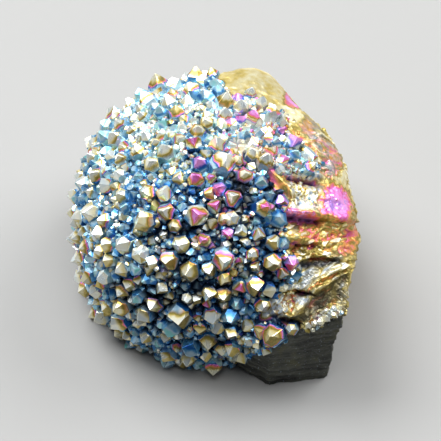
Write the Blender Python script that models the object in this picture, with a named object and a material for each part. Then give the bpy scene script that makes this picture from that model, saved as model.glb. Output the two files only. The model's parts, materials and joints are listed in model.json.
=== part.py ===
"""Coated quartz cluster: a dome of intergrown quartz points on its broken matrix stone.

The stone rests on a flat cut at z = 0. The druse of quartz points covers the dome, and the
right-hand side is the bare, ledged matrix, with a knob at its top and a tall wall at its
front-right corner. Lengths are in metres, +Z is up, and the front is at -Y.
"""

import math
import random

import bmesh
import bpy
import numpy as np
from mathutils import Matrix, Vector, noise

MM = 0.001

# Farther than anything on the cluster.
FAR = 1.0

# The dome, seen from its heart, a point inside the stone that every surface point faces.
HEART = np.array([0.0, 0.0, 14.0]) * MM
CROWN_RISE = 25.3 * MM
SKIRT_DROP = 33.0 * MM
DOME_SQUARENESS = 2.35

# Reach of the bare bed at heart height, in mm: every 45 degrees from +X, towards +Y.
FOOTPRINT = np.array([27.7, 27.5, 27.0, 26.6, 26.1, 27.0, 26.9, 28.3]) * MM

# The matrix corner: planes of a block, each by its outward normal and a point in mm.
CORNER_PLANES = (
    ((0.16, -0.98, -0.04), (17.0, -29.4, 5.0)),  # front wall
    ((-0.30, -0.55, 0.78), (16.0, -29.6, 18.0)),  # slope leaning back above the wall
    ((0.60, 0.30, 0.74), (24.0, -19.0, 26.0)),  # ramp from the slope's crest down to the back
    ((-0.51, -0.85, -0.10), (7.0, -27.7, 0.5)),  # left end, turning in under the druse
    ((-0.95, -0.30, 0.0), (2.0, -26.0, 4.0)),  # where that end meets the dome
    ((0.98, -0.15, -0.12), (25.5, -16.0, 12.0)),  # right wall
    ((-0.30, 0.95, 0.10), (4.0, 4.0, 14.0)),  # inner end, buried in the dome
    ((0.0, 0.0, -1.0), (0.0, 0.0, -8.0)),  # below the base cut
)

# Broken faces that cut the dome on its right, each by its outward normal and a point in mm.
BREAK_PLANES = (
    ((0.80, 0.56, 0.22), (22.7, 11.0, 25.8)),  # back-right break
    ((0.975, 0.06, -0.21), (28.8, -10.0, 19.0)),  # right break
)
BREAK_SOFTNESS = 0.9 * MM
BREAK_MARGIN = 1.0 * MM

# The knob at the top: its direction from the heart, its rise and its angular spread.
KNOB_TOWARD = (9.5, 22.5, 20.5)
KNOB_RISE = 3.6 * MM
KNOB_SPREAD = 0.28

# Low lumps over the whole bed.
LUMP_SIZE = 11.0 * MM
LUMP_RISE = 0.7 * MM

# The sighting plane leans this way up from the horizon. Forms on the face are laid out on it as
# they are seen from a station in front of its centre: millimetres across (+X) and up.
FACE_TILT = math.radians(50)
ACROSS = np.array([1.0, 0.0, 0.0])
UPWARD = np.array([0.0, math.sin(FACE_TILT), math.cos(FACE_TILT)])
TOWARD = np.array([0.0, -math.cos(FACE_TILT), math.sin(FACE_TILT)])
SIGHT_CENTRE = np.array([1.5, 0.0, 14.1]) * MM
STATION_DISTANCE = 441.0 * MM
SIGHT_REACH = 60.0 * MM

# Right-hand edge of the druse: how far up, and how far across the points reach there.
DRUSE_EDGE = (
    (-21.2, 1.8), (-19.8, 3.8), (-18.0, 6.4), (-16.8, 9.8), (-15.0, 14.2), (-12.6, 15.8),
    (-10.4, 12.4), (-8.8, 11.4), (-5.8, 13.4), (-2.8, 14.4), (2.8, 14.4), (10.6, 14.2),
    (17.2, 14.6), (18.8, 16.4), (20.6, 20.6), (23.4, 18.4), (26.0, 14.2), (29.0, 14.6),
    (31.2, 11.8), (33.2, 9.4), (36.2, 3.6), (40.0, -5.0),
)

# Ledges of the bare matrix: the lip's run across and up, how far the lip stands out over what is
# below it, and how soon that fades above it.
LEDGES = (
    (((25.6, -1.6), (23.0, -3.6), (19.6, -6.0), (17.8, -9.0), (14.6, -10.6)), 1.5, 2.6),
    (((25.0, -0.6), (20.0, -3.0), (16.6, -4.8), (13.0, -7.6)), 0.9, 1.8),
    (((25.6, 1.4), (19.6, 1.5), (15.6, 0.8)), 0.9, 1.8),
    (((25.0, 3.9), (21.4, 4.8), (15.4, 4.0)), 0.7, 2.0),
    (((26.5, 8.8), (21.0, 9.4), (14.0, 10.4)), 1.3, 3.0),
)

# Ridges and lumps (rise above zero), crevices and pits (below zero): where each starts and ends
# across and up, its spread and its rise.
FORMS = (
    ((15.6, 17.7), (21.2, 16.6), 0.9, -2.0),  # crevice
    ((11.0, 20.0), (15.4, 14.4), 1.1, 1.0),  # sharp ridge left of it
    ((14.8, 9.2), (21.0, 8.4), 1.1, -1.1),  # hollow under the upper ledge
    ((22.6, 12.4), (25.0, 11.6), 2.8, 0.7),  # granular lump
    ((24.6, 9.4), (27.4, 6.4), 2.2, 1.3),  # swelling of the right rim below it
    ((16.6, 5.8), (17.4, 5.4), 1.1, 1.3),  # block at the druse
    ((17.0, -5.5), (19.4, -6.2), 0.7, -1.5),  # gap between the two lower lips
    ((13.6, -10.6), (17.0, -11.8), 1.0, -1.6),  # gap under the lowest lip
)

LIP_WIDTH = 0.8 * MM

# Ledges and forms are only on the face: they fade in from this far behind the sighting plane.
FORMS_BEHIND = 6.0 * MM
FORMS_FADE = 8.0 * MM

# The leading points: the tip's place across and up, and the width.
LEADING_POINTS = (
    (1.4, 21.8, 4.6), (5.0, 22.2, 2.6), (8.4, 23.4, 3.0), (11.0, 21.8, 3.3), (-2.8, 21.2, 3.2),
    (-3.4, 17.8, 3.2), (-0.4, 18.2, 2.2), (2.2, 20.2, 2.8), (1.4, 16.2, 3.0), (6.6, 19.0, 3.2),
    (4.2, 14.2, 3.5), (10.2, 17.4, 2.9), (14.4, 21.6, 2.5), (9.8, 12.0, 3.4), (14.2, 13.4, 2.6),
    (-4.0, 10.4, 4.1), (-10.0, 11.2, 3.4), (-14.4, 9.2, 4.0), (-11.8, 8.8, 2.2), (-14.0, 15.6, 3.3),
    (-10.2, 15.0, 3.0), (2.2, 9.6, 2.5), (4.2, 9.6, 2.9), (3.0, 6.6, 2.4), (-1.8, 5.0, 2.7),
    (-6.8, 4.0, 3.5), (-9.4, 0.4, 3.7), (-5.0, -2.2, 4.0), (-0.8, -1.2, 3.0), (2.0, 0.8, 4.0),
    (-15.8, 1.6, 3.6), (-12.6, 0.4, 2.5), (-19.2, -1.4, 3.2), (-11.0, -5.4, 2.7), (-9.0, -7.0, 2.1),
    (-14.6, -11.6, 3.6), (-7.4, -12.2, 4.4), (-5.6, -7.6, 2.4), (-0.8, -6.6, 3.1), (2.2, -7.2, 3.4),
    (-0.2, -11.2, 3.5), (3.8, -11.8, 3.6), (5.6, -4.8, 2.6), (8.6, -5.2, 3.6), (9.4, -10.0, 3.4),
    (6.4, -11.8, 2.6), (8.8, -12.8, 2.8), (11.6, -15.0, 4.4), (12.8, 0.2, 3.6), (12.4, 4.2, 3.0),
    (9.2, 6.4, 2.6), (15.8, -13.4, 2.4), (-20.0, -12.8, 3.9), (-2.6, -13.8, 2.8), (-24.8, 18.8, 3.2),
    (-23.0, 16.8, 3.1), (-22.8, 9.0, 3.0), (-19.0, 4.2, 3.6), (16.6, 0.2, 2.9), (17.4, 23.2, 2.6),
    (14.4, 21.8, 2.4), (20.4, 20.6, 2.6), (11.0, 21.6, 3.2), (8.6, 23.6, 3.0), (8.6, 31.2, 3.4),
    (5.8, 33.0, 3.2), (-24.8, -5.8, 3.0), (-22.0, -9.2, 3.0), (-14.2, -15.6, 3.0), (-9.2, -19.2, 3.2),
    (-5.0, -20.0, 3.4), (-1.8, -19.4, 2.8),
)

# The other points fill the druse between them, the widest first.
POINT_SEED = 36
POINT_TRIALS = 16000
POINT_COUNT = 252
WIDEST_POINT = 4.1 * MM
NARROWEST_POINT = 2.4 * MM
NARROWING = 0.6
POINT_SPACING = 1.0
LOWEST_TRIAL = -0.45
LOWEST_ROOT = 1.0 * MM
EDGE_CLEARANCE = 0.3 * MM

# The make of one point, in shares of its width where no unit is given.
POINT_ROOT = 2.4 * MM
SHANK_RISE = 0.38
SHANK_RANGE = (0.75, 1.3)
TIP_SLOPE = math.radians(51.8)
SLOPE_RANGE = (0.85, 1.0)
TIP_SHIFT = 0.1
POINT_LEAN = 0.12
THREE_FACED_SHARE = 0.45

# The bed's triangles: halvings everywhere, then further halvings of the bare matrix from this
# height up and this far in front of the sighting plane. Faces flatter than this are joined.
BED_FINENESS = 3
BARE_FINENESS = ((-1.0 * MM, -60.0 * MM), (-1.0 * MM, -4.0 * MM), (15.0 * MM, 6.0 * MM))
FINE_MARGIN = 0.5 * MM
NORMAL_SPREAD = 0.05
FLATNESS = math.radians(6)

# The block under z = 0 that the base cut takes away.
CUT_SIDE = 200.0 * MM
CUT_DEPTH = 60.0 * MM


def unit(vectors):
    return vectors / np.linalg.norm(vectors, axis=-1, keepdims=True)


def smooth_least(a, b, softness):
    """The lesser of a and b, rounded over where they are within softness of each other."""
    blend = np.clip(0.5 + 0.5 * (b - a) / softness, 0.0, 1.0)
    return b + (a - b) * blend - softness * blend * (1.0 - blend)


def footprint_reach(azimuth):
    """Reach at heart height, eased between the stated azimuths."""
    turn = azimuth / math.tau * len(FOOTPRINT) % len(FOOTPRINT)
    before = turn.astype(int) % len(FOOTPRINT)
    share = turn - np.floor(turn)
    ease = share * share * (3.0 - 2.0 * share)
    return FOOTPRINT[before] * (1.0 - ease) + FOOTPRINT[(before + 1) % len(FOOTPRINT)] * ease


def dome_reach(direction):
    azimuth = np.arctan2(direction[:, 1], direction[:, 0])
    level = np.hypot(direction[:, 0], direction[:, 1])
    rise = np.where(direction[:, 2] > 0, CROWN_RISE, SKIRT_DROP)
    sideways = (level / footprint_reach(azimuth)) ** DOME_SQUARENESS
    upwards = (np.abs(direction[:, 2]) / rise) ** DOME_SQUARENESS
    return (sideways + upwards) ** (-1.0 / DOME_SQUARENESS)


def plane_reach(direction, normal, point):
    """Distance from the heart to a plane along each direction: FAR where the plane is never met."""
    normal = unit(np.array(normal))
    gap = normal @ (np.array(point) * MM - HEART)
    facing = direction @ normal
    return np.where(facing > gap / FAR, gap / np.maximum(facing, gap / FAR), FAR)


def bed_reach(direction):
    """Distance from the heart to the plain bed, along each unit direction, without relief."""
    aside = np.linalg.norm(direction - unit(np.array(KNOB_TOWARD)), axis=1)
    reach = dome_reach(direction) + KNOB_RISE * np.exp(-((aside / KNOB_SPREAD) ** 2))
    corner = np.full(len(direction), FAR)
    for normal, point in CORNER_PLANES:
        corner = np.minimum(corner, plane_reach(direction, normal, point))
    reach = -smooth_least(-reach, -corner, BREAK_SOFTNESS)
    for normal, point in BREAK_PLANES:
        reach = smooth_least(reach, plane_reach(direction, normal, point), BREAK_SOFTNESS)
    return reach


def sighted(points):
    """Where each point is seen across and up the sighting plane, and how far in front of it it is."""
    offset = points - SIGHT_CENTRE
    nearness = offset @ TOWARD
    scale = STATION_DISTANCE / (STATION_DISTANCE - nearness)
    centre = np.array([SIGHT_CENTRE @ ACROSS, SIGHT_CENTRE @ UPWARD])
    place = centre + np.column_stack([offset @ ACROSS, offset @ UPWARD]) * scale[:, None]
    return place, nearness


def druse_margin(points):
    """How far inside the druse each bed point lies: positive under the quartz points."""
    place, _ = sighted(points)
    heights, edges = np.array(DRUSE_EDGE).T * MM
    margin = np.interp(place[:, 1], heights, edges) - place[:, 0]
    for normal, point in BREAK_PLANES:
        depth = (np.array(point) * MM - points) @ unit(np.array(normal))
        margin = np.minimum(margin, depth - BREAK_MARGIN)
    return margin


def from_segment(place, start, end):
    """Distance of each place from a segment that runs to the left, and whether it is above it."""
    run = end - start
    share = np.clip((place - start) @ run / (run @ run), 0.0, 1.0)
    away = place - start - share[:, None] * run
    return np.linalg.norm(away, axis=1), run[0] * away[:, 1] - run[1] * away[:, 0] < 0


def ledge_rise(place, line, rise, fade):
    """Full rise at the lip and fading above it; nothing below it."""
    corners = np.array(line) * MM
    nearest = np.full(len(place), FAR)
    above = np.zeros(len(place), bool)
    for start, end in zip(corners, corners[1:]):
        distance, upper = from_segment(place, start, end)
        above = np.where(distance < nearest, upper, above)
        nearest = np.minimum(nearest, distance)
    lip = np.clip(0.5 + np.where(above, nearest, -nearest) / LIP_WIDTH, 0.0, 1.0)
    return lip * rise * MM * np.exp(-nearest / (fade * MM))


def relief(points):
    """Lumps over the whole bed, and the ledges and other forms of the bare matrix on the face."""
    lumps = np.array([noise.noise(Vector(p / LUMP_SIZE)) for p in points]) * LUMP_RISE
    place, nearness = sighted(points)
    forms = np.zeros(len(points))
    for line, rise, fade in LEDGES:
        forms += ledge_rise(place, line, rise, fade)
    for start, end, spread, rise in FORMS:
        distance, _ = from_segment(place, np.array(start) * MM, np.array(end) * MM)
        forms += rise * MM * np.exp(-((distance / (spread * MM)) ** 2))
    return lumps + forms * np.clip((nearness + FORMS_BEHIND) / FORMS_FADE, 0.0, 1.0)


def bed_points(direction):
    plain = HEART + direction * bed_reach(direction)[:, None]
    return plain + direction * relief(plain)[:, None]


def bed_normals(direction):
    """Outward normals of the plain bed, from four nearby points of it."""
    steep = np.abs(direction[:, 2:]) > 0.9
    aside = unit(np.cross(direction, np.where(steep, (1.0, 0.0, 0.0), (0.0, 0.0, 1.0))))
    along = np.cross(direction, aside)

    def surface(step):
        nearby = unit(direction + step * NORMAL_SPREAD)
        return nearby * bed_reach(nearby)[:, None]

    normal = unit(np.cross(surface(aside) - surface(-aside), surface(along) - surface(-along)))
    return normal * np.sign(np.sum(normal * direction, axis=1))[:, None]


def sighted_roots(rise):
    """Where the leading points root, so that a tip that rises this high is seen where it should be."""
    place = np.array([point[:2] for point in LEADING_POINTS]) * MM
    shift = place - np.array([SIGHT_CENTRE @ ACROSS, SIGHT_CENTRE @ UPWARD])
    station = SIGHT_CENTRE + TOWARD * STATION_DISTANCE
    rays = unit(SIGHT_CENTRE + shift[:, :1] * ACROSS + shift[:, 1:] * UPWARD - station)
    offset = np.zeros((len(rays), 3))
    for _ in range(4):
        near = np.full(len(rays), STATION_DISTANCE - SIGHT_REACH)
        far = np.full(len(rays), STATION_DISTANCE + SIGHT_REACH / 6)
        for _ in range(30):
            middle = (near + far) / 2
            spot = station + rays * middle[:, None] - offset - HEART
            inside = np.linalg.norm(spot, axis=1) < bed_reach(unit(spot))
            far = np.where(inside, middle, far)
            near = np.where(inside, near, middle)
        direction = unit(station + rays * far[:, None] - offset - HEART)
        offset = bed_normals(direction) * rise[:, None]
    return direction


def chance_vector(chance):
    return Vector((chance.gauss(0, 1), chance.gauss(0, 1), chance.gauss(0, 1)))


def quartz_sites():
    """Where the points stand: root on the bed, axis, width, and a fate that sets the rest."""
    chance = random.Random(POINT_SEED)
    leading_widths = np.array([width for _, _, width in LEADING_POINTS]) * MM
    leading = sighted_roots(leading_widths * (SHANK_RISE + math.tan(TIP_SLOPE) / 2))
    trials = []
    while len(trials) < POINT_TRIALS:
        trial = chance_vector(chance).normalized()
        if trial.z > LOWEST_TRIAL:
            trials.append(trial)
    direction = np.vstack([leading, np.array(trials)])
    roots = bed_points(direction)
    normals = bed_normals(direction)
    allowed = (druse_margin(roots) > EDGE_CLEARANCE) & (roots[:, 2] > LOWEST_ROOT)
    room = np.full(len(roots), FAR)
    sites = []
    for number in range(POINT_COUNT):
        if number < len(leading):
            k, width = number, leading_widths[number]
        else:
            share = (number - len(leading)) / (POINT_COUNT - len(leading))
            width = WIDEST_POINT + (NARROWEST_POINT - WIDEST_POINT) * share**NARROWING
            free = np.flatnonzero(allowed & (room > POINT_SPACING * width / 2))
            if len(free) == 0:
                continue
            k = free[0]
        room = np.minimum(room, np.linalg.norm(roots - roots[k], axis=1) - POINT_SPACING * width / 2)
        axis = (Vector(normals[k]) + chance_vector(chance) * POINT_LEAN).normalized()
        sites.append((Vector(roots[k]), axis, float(width), chance.randrange(1_000_000)))
    return sites


def add_quartz_point(mesh, root, axis, width, fate):
    """One six-sided point. Its tip has six faces, or three broad ones that reach down two sides each."""
    chance = random.Random(fate)
    turn = Matrix.Rotation(chance.uniform(0, math.tau), 4, "Z")
    place = Matrix.Translation(root) @ axis.to_track_quat("Z", "Y").to_matrix().to_4x4() @ turn
    radius = width / 2 / math.cos(math.pi / 6)
    three_faced = chance.random() < THREE_FACED_SHARE
    slope = math.tan(TIP_SLOPE) * chance.uniform(*SLOPE_RANGE)
    peak = width * SHANK_RISE * chance.uniform(*SHANK_RANGE) + width / 2 * slope
    shift = Vector((chance.uniform(-1, 1), chance.uniform(-1, 1), 0)) * width * TIP_SHIFT
    low, high = [], []
    for side in range(6):
        outward = Vector((math.cos(math.tau * side / 6), math.sin(math.tau * side / 6), 0)) * radius
        drop = slope * width / 2
        if three_faced:
            drop = slope * radius / (1 + side % 2)
        low.append(mesh.verts.new(place @ (outward - Vector((0, 0, POINT_ROOT)))))
        high.append(mesh.verts.new(place @ (outward + Vector((0, 0, peak - drop)))))
    apex = mesh.verts.new(place @ (shift * (not three_faced) + Vector((0, 0, peak))))
    mesh.faces.new(reversed(low))
    for side in range(6):
        following = (side + 1) % 6
        mesh.faces.new((low[side], low[following], high[following], high[side]))
        if not three_faced:
            mesh.faces.new((high[side], high[following], apex))
        elif side % 2 == 0:
            mesh.faces.new((high[side - 1], high[side], high[following], apex))


def object_from(mesh, name):
    data = bpy.data.meshes.new(name)
    mesh.to_mesh(data)
    mesh.free()
    made = bpy.data.objects.new(name, data)
    bpy.context.scene.collection.objects.link(made)
    return made


def split_faces(mesh, chosen):
    """Halves the edges of the chosen faces, so that the surface there is finer."""
    edges = dict.fromkeys(edge for face, taken in zip(mesh.faces, chosen) if taken for edge in face.edges)
    bmesh.ops.subdivide_edges(mesh, edges=list(edges), cuts=1, use_grid_fill=True)
    bmesh.ops.triangulate(mesh, faces=mesh.faces[:])


def make_bed():
    """The stone: a ball of triangles pushed out to the bed, finer where the matrix is bare."""
    mesh = bmesh.new()
    bmesh.ops.create_icosphere(mesh, subdivisions=BED_FINENESS, radius=1.0)
    for lowest, foremost in BARE_FINENESS:
        centres = unit(np.array([face.calc_center_median() for face in mesh.faces]))
        plain = HEART + centres * bed_reach(centres)[:, None]
        _, nearness = sighted(plain)
        bare = druse_margin(plain) < FINE_MARGIN
        split_faces(mesh, bare & (plain[:, 2] > lowest) & (nearness > foremost))
    direction = unit(np.array([vertex.co for vertex in mesh.verts]))
    for vertex, place in zip(mesh.verts, bed_points(direction)):
        vertex.co = place
    return object_from(mesh, "aura_quartz_cluster")


def hidden_cutter(mesh, name):
    made = object_from(mesh, name)
    made.hide_render = True
    made.display_type = "WIRE"
    return made


def make_points():
    mesh = bmesh.new()
    for root, axis, width, fate in quartz_sites():
        add_quartz_point(mesh, root, axis, width, fate)
    return hidden_cutter(mesh, "quartz_points")


def make_base_cutter():
    mesh = bmesh.new()
    bmesh.ops.create_cube(mesh, size=1.0)
    bmesh.ops.scale(mesh, vec=(CUT_SIDE, CUT_SIDE, CUT_DEPTH), verts=mesh.verts)
    bmesh.ops.translate(mesh, vec=(0.0, 0.0, -CUT_DEPTH / 2), verts=mesh.verts)
    return hidden_cutter(mesh, "base_cut")


def add_boolean(target, name, operation, operand, crossing_itself=False):
    modifier = target.modifiers.new(name, "BOOLEAN")
    modifier.operation = operation
    modifier.solver = "EXACT"
    modifier.use_self = crossing_itself
    modifier.object = operand


def coated_quartz():
    material = bpy.data.materials.new("coated_quartz")
    material.use_nodes = True
    surface = material.node_tree.nodes["Principled BSDF"]
    surface.inputs["Base Color"].default_value = (0.62, 0.60, 0.47, 1.0)
    surface.inputs["Metallic"].default_value = 0.85
    surface.inputs["Roughness"].default_value = 0.25
    return material


def shells_of(mesh):
    """The mesh's faces, grouped into the separate surfaces that they form."""
    seen = set()
    shells = []
    for first in mesh.faces:
        if first in seen:
            continue
        seen.add(first)
        shell = [first]
        for face in shell:
            neighbours = {other for edge in face.edges for other in edge.link_faces} - seen
            seen |= neighbours
            shell.extend(neighbours)
        shells.append(shell)
    return shells


def settle(target):
    """Applies the Booleans, and fills the small hollows that leaning points close over."""
    evaluated = target.evaluated_get(bpy.context.evaluated_depsgraph_get())
    mesh = bmesh.new()
    mesh.from_mesh(evaluated.data)
    hollows = sorted(shells_of(mesh), key=len)[:-1]
    bmesh.ops.delete(mesh, geom=[face for hollow in hollows for face in hollow], context="FACES")
    bmesh.ops.dissolve_limit(mesh, angle_limit=FLATNESS, verts=mesh.verts[:], edges=mesh.edges[:])
    bmesh.ops.triangulate(mesh, faces=mesh.faces[:])
    target.modifiers.clear()
    mesh.to_mesh(target.data)
    mesh.free()


def main():
    for leftover in list(bpy.data.objects):
        bpy.data.objects.remove(leftover)
    cluster = make_bed()
    cluster.data.materials.append(coated_quartz())
    add_boolean(cluster, "grow_points", "UNION", make_points(), crossing_itself=True)
    add_boolean(cluster, "flat_base", "DIFFERENCE", make_base_cutter())
    settle(cluster)


main()
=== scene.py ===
# Coated quartz cluster: a dome of intergrown quartz points on its broken stone.
import json
import math
import random
import time

import bmesh
import bpy
import numpy as np
from mathutils import Matrix, Vector, noise

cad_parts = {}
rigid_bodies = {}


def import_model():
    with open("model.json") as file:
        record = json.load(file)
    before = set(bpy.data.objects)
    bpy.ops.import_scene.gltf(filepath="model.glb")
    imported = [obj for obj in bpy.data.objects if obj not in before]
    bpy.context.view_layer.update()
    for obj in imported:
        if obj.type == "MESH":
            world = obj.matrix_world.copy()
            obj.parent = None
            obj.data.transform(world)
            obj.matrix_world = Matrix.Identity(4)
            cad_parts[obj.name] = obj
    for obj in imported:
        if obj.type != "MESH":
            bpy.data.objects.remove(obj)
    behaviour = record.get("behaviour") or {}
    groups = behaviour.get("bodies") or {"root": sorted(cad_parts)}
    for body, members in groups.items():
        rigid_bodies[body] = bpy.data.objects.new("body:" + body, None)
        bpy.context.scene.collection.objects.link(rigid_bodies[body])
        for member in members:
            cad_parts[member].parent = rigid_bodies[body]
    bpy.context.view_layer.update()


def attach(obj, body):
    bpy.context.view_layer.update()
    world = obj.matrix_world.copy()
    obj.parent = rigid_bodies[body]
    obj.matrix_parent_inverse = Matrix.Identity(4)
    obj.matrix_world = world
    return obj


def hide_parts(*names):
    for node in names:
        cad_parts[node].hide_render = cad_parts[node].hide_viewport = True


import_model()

started = time.time()
mm = 0.001
far = 1.0


def report(words):
    print(f"{time.time() - started:6.1f} s  {words}")


# Where the face of the cluster is seen from: places on it are given in mm across and up a plane
# that leans back with the face.
sight = {
    "tilt": math.radians(50),
    "centre": np.array([1.5, 0.0, 14.1]) * mm,
    "distance": 441 * mm,
    "before": 60 * mm,  # how far before and behind the centre a root is looked for
    "behind": 10 * mm,
    "halvings": 30,
    "rounds": 4,
}
across = np.array([1.0, 0.0, 0.0])
upward = np.array([0.0, math.sin(sight["tilt"]), math.cos(sight["tilt"])])
toward = np.array([0.0, -math.cos(sight["tilt"]), math.sin(sight["tilt"])])
sightCentre = np.array([sight["centre"] @ across, sight["centre"] @ upward])

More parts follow.
